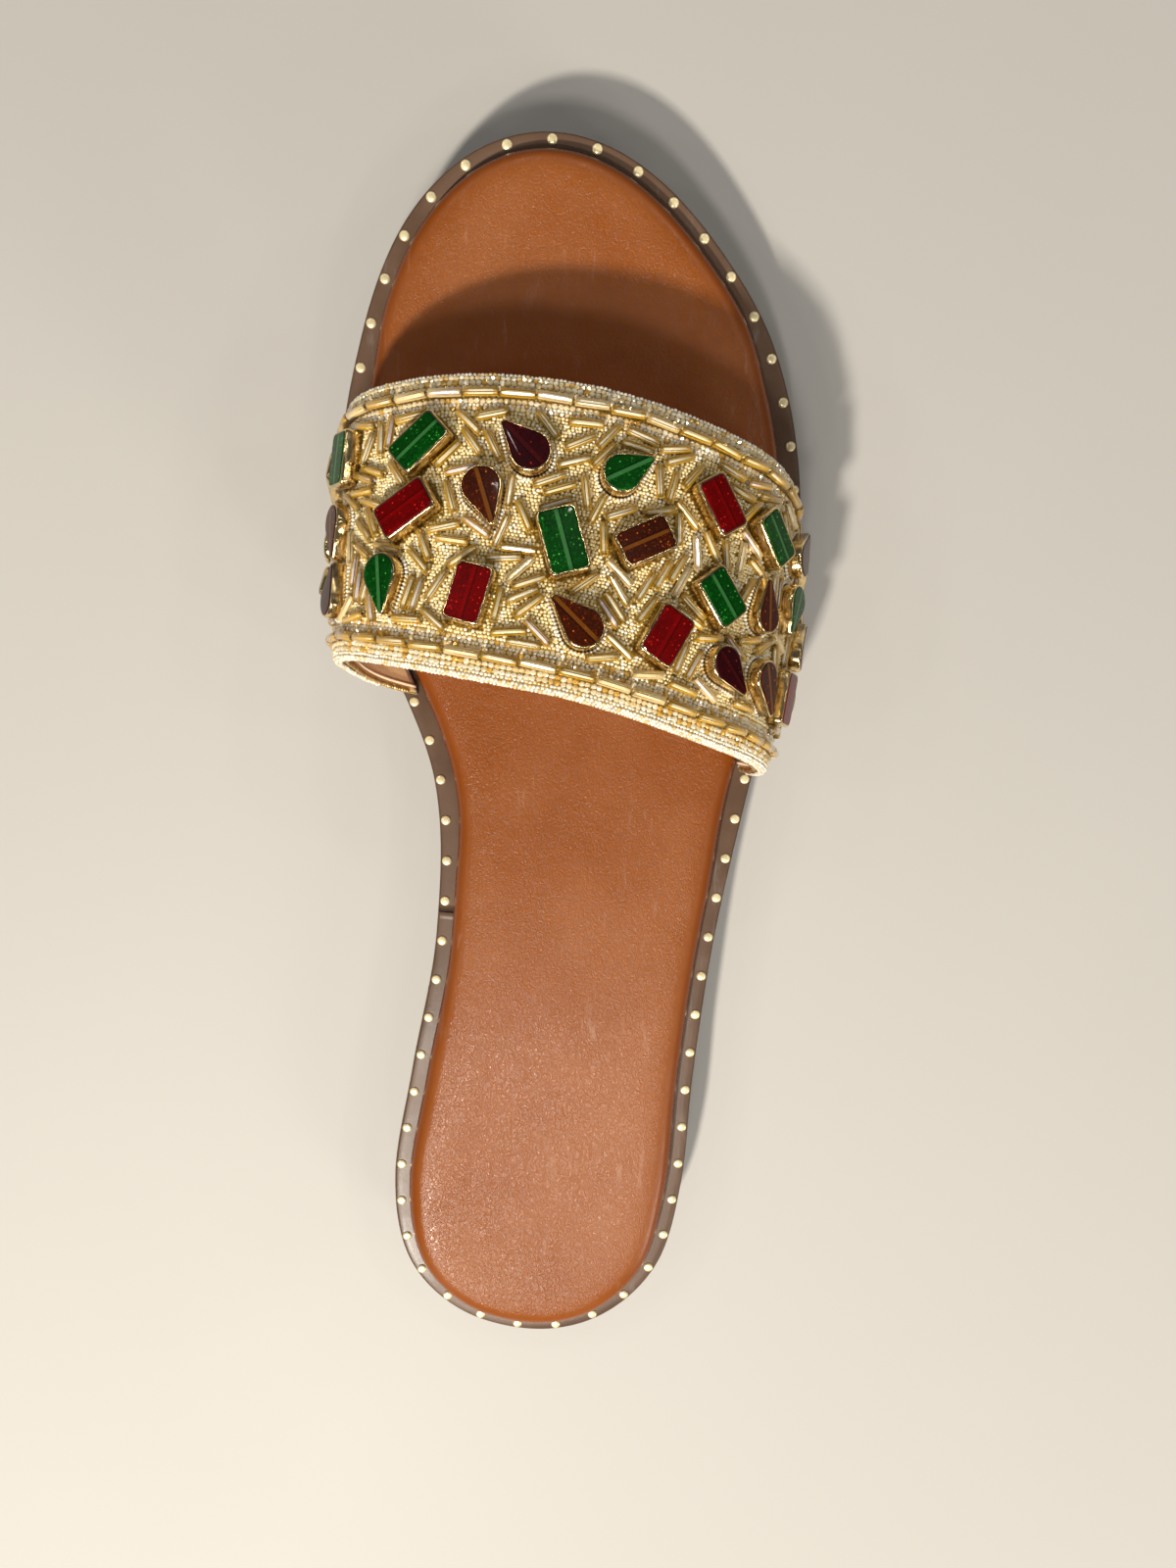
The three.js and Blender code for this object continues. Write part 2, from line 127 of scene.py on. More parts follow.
# Band edges: around, y of the back edge, y of the front edge.
BAND_EDGES = np.array(
    (
        (-1.0, 18.0, 70.0),
        (-0.72, 25.3, 72.0),
        (-0.4, 28.6, 76.0),
        (0.0, 25.0, 77.0),
        (0.4, 13.4, 67.6),
        (0.72, 5.5, 59.0),
        (1.0, 3.3, 57.0),
    )
)
# Band ribs: along, inner and outer half width, height of the widest place, height of the crest.
BAND_RIBS = np.array(
    (
        (0.0, -40.4, 44.4, 18.0, 55.0),
        (0.5, -39.5, 48.0, 16.5, 47.5),
        (1.0, -38.2, 48.2, 15.0, 39.0),
    )
)
WIDE_AT = 0.72
FULLNESS = {"inner": 2.3, "outer": 2.1}
BAND_INSET = 2.5
WALL = {"base": 1.3, "full": 2.6, "thin_below": 0.93, "full_above": 0.75}
EDGES = ("back", "front")
CLOTH_EDGE = ((0.05, 0.62), (0.0, 0.35), (0.14, 0.1), (0.6, 0.0))  # distance in, share of the depth
CLOTH_TURN = 0.5
LINING_INSET = 1.5  # from the band's edges to the lining's
LINING_FOLD = 0.4
LINING_REACH = 0.996
FACING = {"start": 0.3, "lap": 4.0, "turn": 0.5, "thick": 0.48}
PIPING = {"radius": 0.34, "sink": 0.12}
BRAID = {"inset": 0.2, "reach": 0.975, "pitch": 0.62, "lift": 0.1, "lean": 0.9, "half": (0.72, 0.4, 0.4)}
BRAID_LINK = ((0.15, -1.0), (0.75, -0.66), (1.0, 0.0), (0.75, 0.66), (0.15, 1.0))

# Stones: node, cut, around, along, turn (degrees), length, width.
STONE_SEAT = 0.3
STONE_CORNER = 0.9
STONE_NEAR = 14.0  # no stone reaches further than this
DROP_TIP = {"back": 0.1, "half": 0.42}
# Rise of a stone: distance in from its outline, and height; glass starts at the step GLASS_FROM.
STONE_STEPS = (
    (0.25, -0.25), (0.0, 0.0), (0.0, 1.2), (0.0, 2.35), (0.05, 2.58), (0.18, 2.78), (0.34, 2.84),
    (0.4, 2.8), (0.5, 2.92), (0.7, 2.99), (1.7, 3.01),
)
STONE_PEAK = 3.03
GLASS_FROM = 7
STONE_PEARLS = {"gap": 0.34, "pitch": 0.7, "radius": 0.36}
STONES = (
    ("stone_green_1", "table", -0.227, 0.752, 44, 10.5, 6.7),
    ("stone_garnet_1", "drop", -0.024, 0.757, 139, 11.1, 7.6),
    ("stone_green_2", "drop", 0.132, 0.738, 40, 10.2, 7.2),
    ("stone_red_1", "table", 0.304, 0.735, -46, 10.4, 6.6),
    ("stone_green_3", "table", 0.454, 0.717, -40, 10.2, 6.4),
    ("stone_red_2", "table", -0.250, 0.523, 36, 11.0, 6.8),
    ("stone_amber_1", "drop", -0.086, 0.575, -66, 11.1, 7.4),
    ("stone_green_4", "table", 0.033, 0.466, -66, 11.8, 7.2),
    ("stone_amber_2", "table", 0.161, 0.530, 39, 10.4, 6.6),
    ("stone_green_5", "table", 0.310, 0.445, -40, 9.8, 7.0),
    ("stone_amber_3", "drop", 0.430, 0.482, 104, 10.2, 6.2),
    ("stone_green_6", "drop", -0.298, 0.262, -75, 11.0, 7.2),
    ("stone_red_3", "table", -0.107, 0.256, -97, 10.4, 6.7),
    ("stone_amber_4", "drop", 0.055, 0.228, 147, 11.4, 7.4),
    ("stone_red_4", "table", 0.207, 0.262, -107, 10.0, 7.0),
    ("stone_garnet_2", "drop", 0.347, 0.228, -35, 10.4, 6.8),
    ("stone_amber_5", "drop", 0.462, 0.228, -58, 10.8, 6.6),
    ("stone_green_7", "table", -0.500, 0.750, 84, 10.2, 6.6),
    ("stone_amber_6", "drop", -0.500, 0.470, -78, 10.8, 6.8),
    ("stone_garnet_3", "drop", -0.500, 0.250, 66, 10.4, 6.8),
    ("stone_garnet_4", "drop", 0.600, 0.752, 70, 10.4, 6.8),
    ("stone_green_8", "drop", 0.545, 0.530, -100, 10.2, 6.6),
    ("stone_amber_7", "drop", 0.650, 0.452, 75, 10.2, 6.6),
    ("stone_red_5", "table", 0.575, 0.243, 96, 10.4, 6.6),
    ("stone_red_6", "table", -0.720, 0.760, 28, 10.4, 6.6),
    ("stone_green_9", "drop", -0.720, 0.528, 112, 10.8, 6.8),
    ("stone_amber_8", "drop", -0.690, 0.320, -24, 10.4, 6.6),
    ("stone_green_10", "table", 0.780, 0.755, -24, 10.2, 6.6),
    ("stone_red_7", "table", 0.780, 0.520, 62, 10.2, 6.6),
    ("stone_garnet_5", "drop", 0.780, 0.270, -18, 10.4, 6.8),
)

# Bead rows along the band's edges: edge, kind, distance in from the edge, lift, size, pitch.
BORDER_ROWS = (
    ("back", "pearl", -0.25, -1.3, 0.38, 0.72),
    ("back", "pearl", -0.2, -0.55, 0.38, 0.72),
    ("back", "pearl", 0.15, 0.12, 0.38, 0.72),
    ("back", "pearl", 0.8, 0.3, 0.36, 0.7),
    ("back", "crystal", 1.5, 0.3, 0.58, 1.04),
    ("back", "crystal", 2.5, 0.3, 0.58, 1.04),
    ("back", "tube", 3.65, 0.95, 0.82, 6.3),
    ("back", "crystal", 4.95, 0.3, 0.56, 1.04),
    ("back", "pearl", 5.7, 0.3, 0.36, 0.7),
    ("back", "crystal", 6.35, 0.25, 0.48, 0.95),
    ("front", "pearl", -0.2, -0.9, 0.38, 0.72),
    ("front", "pearl", -0.15, -0.2, 0.38, 0.72),
    ("front", "crystal", 0.45, 0.25, 0.5, 0.92),
    ("front", "crystal", 1.35, 0.3, 0.58, 1.04),
    ("front", "crystal", 2.3, 0.3, 0.56, 1.04),
    ("front", "tube", 3.4, 0.95, 0.82, 6.3),
    ("front", "crystal", 4.65, 0.3, 0.58, 1.04),
    ("front", "pearl", 5.4, 0.3, 0.36, 0.7),
    ("front", "crystal", 6.0, 0.25, 0.48, 0.95),
)
BORDER_REACH = 0.965
BESIDE = {"below": -0.4, "reach": 0.9, "lean": 0.25}  # rows on the edge's side stop sooner
CRYSTAL_TILT = 0.28

# The field between the borders: its ends, the reach around, and the room that loose beads need.
FIELD = {"back": 6.9, "front": 6.5, "reach": 0.93, "slack": 0.012}
TUBES = {"tries": 120000, "seat": 0.95, "gap": 0.1, "over_welt": 1.6, "bore": 0.58, "core": 0.56}
SEEDS = {"reach": 0.962, "depth": 40.5, "row": 0.866, "from_stone": 0.34, "from_tube": 0.86}

# Stage, in metres; angles in degrees.
FLOOR = {"half": 3.0, "cells": 12}
LIGHT_AIM = (0.0, 0.0, 0.03)
KEY_LIGHT = {"place": (-0.32, -0.69, 0.93), "side": 0.07, "tint": (1.0, 0.93, 0.82)}
LINING_LIGHT = {"place": (0.62, -0.66, 0.42), "side": 0.22, "tint": (1.0, 0.95, 0.87)}
LINING_LIGHT_SHARE = 0.35  # of the ring's power
GLOSS_LIGHT = {"place": (-0.08, -0.46, 0.92), "side": 0.1, "tint": (1.0, 0.96, 0.9)}
RING_TINT = (1.0, 0.97, 0.92)
# Lights in a ring about the sandal; lean is the extra power on the outer side.
RING_LIGHTS = {"count": 12, "reach": 0.75, "height": 0.87, "side": 0.06, "lean": 0.1}
SKY_TINT = (1.0, 0.985, 0.96, 1.0)
CAMERA = {"place": (0.00467, 0.04274, 0.26412), "turn": (-9.7673, 0.2316, 1.1686)}
LENS = {"sensor_width": 36.0, "lens": 27.05, "clip_start": 0.01}


def linear(red, green, blue):
    """A colour given as 0 to 255 screen values, as scene-linear values."""

    def one(value):
        share = value / 255
        return share / 12.92 if share <= 0.04045 else ((share + 0.055) / 1.055) ** 2.4

    return (one(red), one(green), one(blue))


def smooth_step(value, low, high):
    share = np.clip((value - low) / (high - low), 0, 1)
    return share * share * (3 - 2 * share)


def unit(vectors):
    return vectors / np.linalg.norm(vectors, axis=-1, keepdims=True)


def running_length(points):
    """Length of a line of points, from its start to each of them."""
    steps = np.linalg.norm(np.diff(points, axis=0), axis=1)
    return np.concatenate([[0], np.cumsum(steps)])


# Outline and heights of the sole

_inner = [(row[0], row[1]) for row in OUTLINE]
_outer = [(row[0], row[2]) for row in OUTLINE[1:-1]][::-1]
KNOT_X = np.array([x for _, x in _inner + _outer]) + CENTRE_SHIFT
KNOT_Y = -LENGTH / 2 * np.cos(np.radians([float(s) for s, _ in _inner + _outer]))


def knot_curve(knots, share):
    """Closed smooth curve through the outline's knots."""
    count = len(knots)
    place = np.asarray(share, float) % 1.0 * count
    first = np.floor(place).astype(int)
    w = place - first
    a, b, c, d = (knots[(first + k - 1) % count] for k in range(4))
    return 0.5 * (
        2 * b + (c - a) * w + (2 * a - 5 * b + 4 * c - d) * w**2 + (3 * b - a - 3 * c + d) * w**3
    )


def edge_line(share, inset):
    """x and y of the sole's edge at shares round it (0 heel, 0.5 toe), moved inwards by inset."""
    step = 1e-4
    x = knot_curve(KNOT_X, share)
    y = knot_curve(KNOT_Y, share)
    dx = knot_curve(KNOT_X, share + step) - knot_curve(KNOT_X, share - step)
    dy = knot_curve(KNOT_Y, share + step) - knot_curve(KNOT_Y, share - step)
    size = np.hypot(dx, dy)
    return x + dy / size * inset, y - dx / size * inset


def welt_top(y):
    toe = np.maximum(0, (y - BALL_Y) / (LENGTH / 2 - BALL_Y))
    return WELT_TOP + HEEL_RISE * smooth_step(BALL_Y - y, 0, BALL_Y - HEEL_Y) + TOE_RISE * toe**2


def underside(y):
    back = np.maximum(0, (HEEL_BEVEL["start"] - y) / (HEEL_BEVEL["start"] + LENGTH / 2))
    waist = np.clip((y - ARCH["start"]) / (ARCH["end"] - ARCH["start"]), 0, 1)
    toe = np.maximum(0, (y - TOE_SPRING["start"]) / (LENGTH / 2 - TOE_SPRING["start"]))
    return (
        HEEL_BEVEL["rise"] * back**2
        + ARCH["rise"] * np.sin(np.pi * waist) ** 2
        + TOE_SPRING["rise"] * toe**2
    )


def edge_ring(share, inset, height):
    x, y = edge_line(share, inset)
    return np.stack([x, y, height(y)], axis=-1)


# Shape of the band


def ease(rows, column, at):
    """Smooth value of a column between the rows of a table, keyed by its first column."""
    keys = rows[:, 0]
    values = rows[:, column]
    last = len(keys) - 1
    low = np.maximum(0, np.arange(last + 1) - 1)
    high = np.minimum(last, np.arange(last + 1) + 1)
    slope = (values[high] - values[low]) / (keys[high] - keys[low])
    i = np.clip(np.searchsorted(keys, at, side="left") - 1, 0, last - 1)
    span = keys[i + 1] - keys[i]
    t = (at - keys[i]) / span
    h = t * t * (3 - 2 * t)
    return (
        values[i] * (1 - h)
        + values[i + 1] * h
        + span * slope[i] * t * (1 - t) ** 2
        - span * slope[i + 1] * t * t * (1 - t)
    )


def band_base_x(inner, y):
    asked = np.array(y, float)
    x = asked
    for _ in range(4):
        turn = np.arccos(-asked / (LENGTH / 2)) / (2 * np.pi)
        x, found = edge_line(np.where(inner, turn, 1 - turn), BAND_INSET)
        asked = asked + y - found
    return x


def band_face(around, along):
    """Points of the band's outer face."""
    around, along = np.broadcast_arrays(np.asarray(around, float), np.asarray(along, float))
    inner = around < 0
    share = np.abs(around)
    y = ease(BAND_EDGES, 1, around) * (1 - along) + ease(BAND_EDGES, 2, around) * along
    wide = np.where(inner, ease(BAND_RIBS, 1, along), ease(BAND_RIBS, 2, along))
    wide_up = WELT_TOP + ease(BAND_RIBS, 3, along)
    crest = WELT_TOP + ease(BAND_RIBS, 4, along)
    power = 2 / np.where(inner, FULLNESS["inner"], FULLNESS["outer"])
    turn = np.minimum(share / WIDE_AT, 1) * np.pi / 2
    over_x = CENTRE_SHIFT + wide * np.sin(turn) ** power
    over_z = wide_up + (crest - wide_up) * np.maximum(0, np.cos(turn)) ** power
    end = np.where(inner, 0, len(BAND_EDGES) - 1)
    base_y = BAND_EDGES[end, 1] * (1 - along) + BAND_EDGES[end, 2] * along
    base_x = band_base_x(inner, base_y)
    fall = np.maximum(0, (share - WIDE_AT) / (1 - WIDE_AT))
    side_x = CENTRE_SHIFT + wide + (base_x - CENTRE_SHIFT - wide) * fall**2
    side_z = wide_up + (welt_top(base_y) + FIT - wide_up) * fall
    over = share <= WIDE_AT
    return np.stack([np.where(over, over_x, side_x), y, np.where(over, over_z, side_z)], axis=-1)


def band_frame(around, along):
    """Directions on the band: growing around, growing along, and straight out."""
    step = 0.004
    around = np.asarray(around, float)
    along = np.asarray(along, float)
    low, high = np.maximum(-1, around - step), np.minimum(1, around + step)
    back, front = np.maximum(0, along - step), np.minimum(1, along + step)
    across = unit(band_face(high, along) - band_face(low, along))
    ahead = band_face(around, front) - band_face(around, back)
    out = unit(np.cross(across, ahead))
    return across, np.cross(out, across), out


def band_lift(around, along, lift):
    """Points at a height over the band's outer face."""
    point = band_face(around, along) + band_frame(around, along)[2] * np.asarray(lift)[..., None]
    floor = welt_top(point[..., 1]) + FIT
    point[..., 2] = np.maximum(point[..., 2], floor)
    return point


def wall_thickness(around):
    thick = 1 - smooth_step(np.abs(around), WALL["full_above"], WALL["thin_below"])
    return WALL["base"] + (WALL["full"] - WALL["base"]) * thick


def band_width(around):
    """Distance from the band's back edge to its front edge."""
    return np.linalg.norm(band_face(around, 1.0) - band_face(around, 0.0), axis=-1)


def beside_edge(edge, inset, around):
    """Along of the places at a distance in from one edge of the band."""
    share = inset / band_width(around)
    return share if edge == "back" else 1 - share


def band_row(edge, inset, reach, pitch):
    """Around and along of places at an even pitch beside one edge of the band."""
    around = np.linspace(-reach, reach, 1600)
    along = beside_edge(edge, inset, around)
    run = running_length(band_face(around, along))
    count = int(run[-1] / pitch)
    at = (np.arange(count) + 0.5) * run[-1] / count
    return np.interp(at, run, around), np.interp(at, run, along)


# Mesh making


def piece(name, points, faces, materials, slot, face_material=None, smooth=True, replaces=()):
    """A mesh object from points in millimetres and arrays of faces, riding on the sandal."""
    mesh = bpy.data.meshes.new(name)
    sizes = np.concatenate([np.full(len(f), f.shape[1]) for f in faces])
    corners = np.concatenate([np.asarray(f).ravel() for f in faces])
    mesh.vertices.add(len(points))
    mesh.vertices.foreach_set("co", (np.asarray(points) * MM).astype(np.float32).ravel())
    mesh.loops.add(len(corners))
    mesh.loops.foreach_set("vertex_index", corners.astype(np.int32))
    mesh.polygons.add(len(sizes))
    starts = np.concatenate([[0], np.cumsum(sizes)[:-1]])
    mesh.polygons.foreach_set("loop_start", starts.astype(np.int32))
    for material in materials:
        mesh.materials.append(material)
    if face_material is not None:
        mesh.polygons.foreach_set("material_index", np.asarray(face_material, np.int32))
    mesh.polygons.foreach_set("use_smooth", np.broadcast_to(smooth, len(sizes)).copy())
    mesh.update(calc_edges=True)
    mesh.validate()
    made = bpy.data.objects.new(name, mesh)
    bpy.context.scene.collection.objects.link(made)
    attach(made, "root")
    if replaces:
        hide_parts(*replaces)
    return made


def point_values(made, name, values):
    """A number for each point of a piece, for its material to read."""
    layer = made.data.attributes.new(name, "FLOAT", "POINT")
    layer.data.foreach_set("value", np.asarray(values, np.float32))


def ring_walls(rings, count, closed_stack=False, open_ring=False):
    """Quads between rings of points that stand one over the other."""
    last = rings if closed_stack else rings - 1
    i = np.arange(count - 1 if open_ring else count)
    j = (i + 1) % count
    quads = []
    for r in range(last):
        low = r * count
        high = ((r + 1) % rings) * count
        quads.append(np.stack([low + i, high + i, high + j, low + j], axis=1))
    return np.concatenate(quads)


def ladder(first, count, up):
    """Faces straight across a ring whose points i and count - i stand at the same y."""
    i = np.arange(1, count // 2 - 1)
    quads = np.stack([i, count - i, count - i - 1, i + 1], axis=1) + first
    half = count // 2
    ends = np.array([[0, count - 1, 1], [half - 1, half + 1, half]]) + first
    return (quads, ends) if up else (quads[:, ::-1], ends[:, ::-1])


def rungs(rim, columns, first, cap=6):
    """Points and faces of an even skin across such a ring, whose points start at number first."""
    count = len(rim)
    half = count // 2
    left = np.arange(cap, half - cap + 1)
    share = (np.arange(1, columns + 1) / (columns + 1))[None, :, None]
    points = rim[left][:, None] * (1 - share) + rim[count - left][:, None] * share
    number = count + np.arange(len(left) * columns).reshape(len(left), columns)
    rows = np.column_stack([left, number, count - left])
    quads = np.stack([rows[:-1, :-1], rows[:-1, 1:], rows[1:, 1:], rows[1:, :-1]], axis=-1)
    heel = [[0], np.arange(count - 1, count - cap, -1), rows[0, ::-1], np.arange(cap - 1, 0, -1)]
    toe = [np.arange(half, half - cap, -1), rows[-1], np.arange(half + cap - 1, half, -1)]
    caps = np.stack([np.concatenate(heel), np.concatenate(toe)])
    return points.reshape(-1, 3), quads.reshape(-1, 4) + first, caps + first


def copies(points, faces, places, across, ahead, out, scale):
    """One small shape repeated at many places."""
    size = np.broadcast_to(np.asarray(scale, float), (len(places),))[:, None, None]
    local = np.asarray(points)[None]
    turned = (
        local[..., 0:1] * across[:, None]
        + local[..., 1:2] * ahead[:, None]
        + local[..., 2:3] * out[:, None]
    )
    placed = places[:, None] + size * turned
    step = (np.arange(len(places)) * len(points))[:, None, None]
    repeated = [(f[None] + step).reshape(-1, f.shape[1]) for f in faces]
    return placed.reshape(-1, 3), repeated


def stack_quads(rings, sides):
    """Quads between the rings of a small closed shape."""
    i = np.arange(sides)
    j = (i + 1) % sides
    ring = np.stack([i, j, sides + j, sides + i], 1)
    return np.concatenate([ring + k * sides for k in range(rings - 1)])


def tip_fan(first, sides, tip):
    """Triangles from a ring to the one point over it."""
    i = np.arange(sides)
    return np.stack([first + i, first + (i + 1) % sides, np.full(sides, tip)], 1)


def lathe(profile, sides):
    """A small turned shape about its own z, from (radius, height) pairs; a last radius of 0 is a tip."""
    turn = np.arange(sides) / sides * 2 * np.pi
    rings = [(r, z) for r, z in profile if r > 0]
    points = [np.stack([r * np.cos(turn), r * np.sin(turn), np.full(sides, z)], 1) for r, z in rings]
    faces = [stack_quads(len(rings), sides)]
    if profile[-1][0] == 0:
        points.append(np.array([[0, 0, profile[-1][1]]]))
        faces.append(tip_fan((len(rings) - 1) * sides, sides, len(rings) * sides))
    return np.concatenate(points), faces


def round_bead(sides):
    """A small round bead, of radius 1, that sits in the cloth."""
    steps = np.radians([-25, 15, 52])
    profile = [(math.cos(a), math.sin(a)) for a in steps] + [(0, 1.0)]
    return lathe(profile, sides)


def crystal_bead():
    """A small faceted stone, of radius 1."""
    return lathe([(0.8, -0.5), (1.0, 0.0), (0.95, 0.25), (0.5, 0.72), (0, 0.72)], 7)


def tube_shape(radius, length, bore, sides=12):
    """A short glass tube along x with rounded rims and an open bore."""
    half = length / 2
    rim = radius * 0.12
    profile = [
        (bore, half - radius),
        (bore, half),
        (radius - rim, half),
        (radius, half - rim),
        (radius, rim - half),
        (radius - rim, -half),
        (bore, -half),
        (bore, radius - half),
    ]
    points, faces = lathe([(r, -z) for r, z in profile], sides)
    return points[:, [2, 1, 0]] * np.array([1, -1, 1]), [f[:, ::-1] for f in faces]


def rod_shape(radius, length, sides=6):
    """The bright lining of a tube bead, along x."""
    points, faces = lathe([(radius, length / 2), (radius, -length / 2)], sides)
    return points[:, [2, 1, 0]], faces


# Stones


def stone_outline(cut, length, width, inset):
    """Points round a stone, anticlockwise, with its length along x."""
    half = length / 2 - inset
    side = width / 2 - inset
    if cut == "table":
        corner = STONE_CORNER
        turns = np.radians([0, 30, 60, 90])
        points = []
        for start, sx, sy in ((0, 1, 1), (90, -1, 1), (180, -1, -1), (270, 1, -1)):
            angle = turns + math.radians(start)
            cx = sx * (half - corner)
            cy = sy * (side - corner)
            points += [(cx + corner * math.cos(a), cy + corner * math.sin(a)) for a in angle]
        return np.array(points)
    centre = side - half
    opening = math.acos(side / (half - centre))
    turns = np.linspace(opening, 2 * math.pi - opening, 19)
    round_end = [(centre + side * math.cos(a), side * math.sin(a)) for a in turns]
    tip_x = half - DROP_TIP["back"]
    tip = [(tip_x, -DROP_TIP["half"]), (half, 0.0), (tip_x, DROP_TIP["half"])]
    return np.array(tip + round_end)


def stone_seat(row):
    """Origin and directions of a stone: along its length, across it, and out."""
    _, _, around, along, turn, _, _ = row
    across, ahead, out = band_frame(around, along)
    angle = math.radians(turn)
    long_way = across * math.cos(angle) + ahead * math.sin(angle)
    wide_way = ahead * math.cos(angle) - across * math.sin(angle)
    return band_face(around, along) + out * STONE_SEAT, long_way, wide_way, out


def outside_stones(points):
    """Distance of each point outside the nearest stone's side, negative inside."""
    best = np.full(len(points), np.inf)
    for row in STONES:
        origin, long_way, wide_way, _ = stone_seat(row)
        away = points - origin
        near = np.linalg.norm(away, axis=1) < STONE_NEAR
        flat = np.stack([away[near] @ long_way, away[near] @ wide_way], axis=1)
        ring = stone_outline(row[1], row[5], row[6], 0)
        course = np.roll(ring, -1, axis=0) - ring
        normal = unit(np.stack([course[:, 1], -course[:, 0]], axis=1))
        apart = np.einsum("pkc,kc->pk", flat[:, None] - ring[None], normal).max(axis=1)
        best[near] = np.minimum(best[near], apart)
    return best


# Nodes and node groups


def node(tree, kind, given=None, **settings):
    """A node with its settings made and its inputs set or linked."""
    made = tree.nodes.new(kind)
    for key, value in settings.items():
        setattr(made, key, value)
    for key, value in (given or {}).items():
        if isinstance(value, bpy.types.NodeSocket):
            tree.links.new(value, made.inputs[key])
        else:
            made.inputs[key].default_value = value
    return made


def maths(tree, operation, first, second=0.0):
    return node(tree, "ShaderNodeMath", {0: first, 1: second}, operation=operation).outputs[0]


def times(tree, first, second):
    return maths(tree, "MULTIPLY", first, second)


def vector(tree, operation, given, output=0):
    return node(tree, "ShaderNodeVectorMath", given, operation=operation).outputs[output]


def noise(tree, place, scale, detail=2.0, roughness=0.5):
    given = {"Vector": place, "Scale": scale, "Detail": detail, "Roughness": roughness}
    return node(tree, "ShaderNodeTexNoise", given).outputs


def attribute(tree, name):
    """The number that a piece gives to each of its points."""
    return node(tree, "ShaderNodeAttribute", attribute_name=name).outputs["Fac"]


def spread(tree, value, low, high, to_low=0.0, to_high=1.0):
    """A value carried from one range to another, with soft ends."""
    given = {0: value, 1: low, 2: high, 3: to_low, 4: to_high}
    return node(tree, "ShaderNodeMapRange", given, interpolation_type="SMOOTHSTEP").outputs[0]


def between(tree, share, low, high):
    """A number between two others, by a share."""
    return spread(tree, share, 0.0, 1.0, low, high)


def mixed(tree, share, first, second):
    """Two colours mixed by a share."""

    def colour(value):
        return value if isinstance(value, bpy.types.NodeSocket) else (*value, 1.0)

    given = {0: share, 6: colour(first), 7: colour(second)}
    return node(tree, "ShaderNodeMix", given, data_type="RGBA").outputs[2]


def new_group(name, inputs, outputs):
    """An empty node group with named number sockets, and its two ends."""
    tree = bpy.data.node_groups.new(name, "ShaderNodeTree")
    for label, value in inputs:
        socket = tree.interface.new_socket(name=label, in_out="INPUT", socket_type="NodeSocketFloat")
        socket.default_value = value
    for label in outputs:
        tree.interface.new_socket(name=label, in_out="OUTPUT", socket_type="NodeSocketFloat")
    return tree, tree.nodes.new("NodeGroupInput"), tree.nodes.new("NodeGroupOutput")


def object_place(tree, scale=(1.0, 1.0, 1.0)):
    """Place on the sandal, in metres, stretched by scale."""
    place = node(tree, "ShaderNodeTexCoord").outputs["Object"]
    return node(tree, "ShaderNodeMapping", {"Vector": place, "Scale": scale}).outputs[0]


def grain_group():
    """Pebbled skin of leather, crossed by longer wrinkles and parted by fine pores."""
    tree, start, end = new_group("Leather grain", [("Scale", 900.0)], ["Height", "Pores"])
    place = object_place(tree, (1.0, 0.75, 1.0))
    size = start.outputs["Scale"]

    def cracks(share, bend, wide):
        scale = times(tree, size, share)
        wander = noise(tree, place, scale, 3.0)["Color"]
        centred = vector(tree, "SUBTRACT", {0: wander, 1: (0.5, 0.5, 0.5)})
        shift = vector(tree, "SCALE", {0: centred, 3: bend * MM})
        moved = vector(tree, "ADD", {0: place, 1: shift})
        given = {"Vector": moved, "Scale": scale}
        cells = node(tree, "ShaderNodeTexVoronoi", given, feature="DISTANCE_TO_EDGE")
        return spread(tree, cells.outputs["Distance"], 0.0, wide)

    pebbles = cracks(1.0, 1.2, 0.3)
    wrinkles = cracks(0.5, 2.6, 0.16)
    rolls = noise(tree, place, times(tree, size, 0.2), 3.0)[0]
    skin = maths(tree, "ADD", times(tree, pebbles, 0.4), times(tree, wrinkles, 0.45))
    tree.links.new(maths(tree, "ADD", skin, times(tree, rolls, 0.8)), end.inputs["Height"])
    dark = maths(tree, "MINIMUM", pebbles, wrinkles)
    tree.links.new(spread(tree, dark, 0.5, 0.0), end.inputs["Pores"])
    return tree


def drift_group():
    """Slow change of tone from place to place."""
    tree, start, end = new_group("Tone drift", [("Scale", 60.0), ("Contrast", 0.2)], ["Mask"])
    tone = noise(tree, object_place(tree), start.outputs["Scale"], 5.0, 0.55)[0]
    low = maths(tree, "SUBTRACT", 0.5, start.outputs["Contrast"])
    high = maths(tree, "ADD", 0.5, start.outputs["Contrast"])
    tree.links.new(spread(tree, tone, low, high), end.inputs["Mask"])
    return tree


def scuff_group():
    """Fine rubbed marks that run mostly one way."""
    tree, start, end = new_group("Fine scuffs", [("Scale", 300.0)], ["Mask"])
    place = object_place(tree, (1.0, 0.16, 1.0))
    marks = noise(tree, place, start.outputs["Scale"], 6.0, 0.7)[0]
    patches = noise(tree, object_place(tree), 45.0)[0]
    fine = spread(tree, marks, 0.56, 0.72)
    tree.links.new(times(tree, fine, spread(tree, patches, 0.4, 0.65)), end.inputs["Mask"])
    return tree


def nap_group():
    """Short brushed fibres of suede and cloth."""
    tree, start, end = new_group("Fibre nap", [("Scale", 2500.0)], ["Height", "Flecks"])
    place = object_place(tree, (1.0, 0.5, 0.7))
    fine = noise(tree, place, start.outputs["Scale"], 4.0, 0.7)[0]
    tree.links.new(fine, end.inputs["Height"])
    tree.links.new(spread(tree, fine, 0.42, 0.62), end.inputs["Flecks"])
    return tree


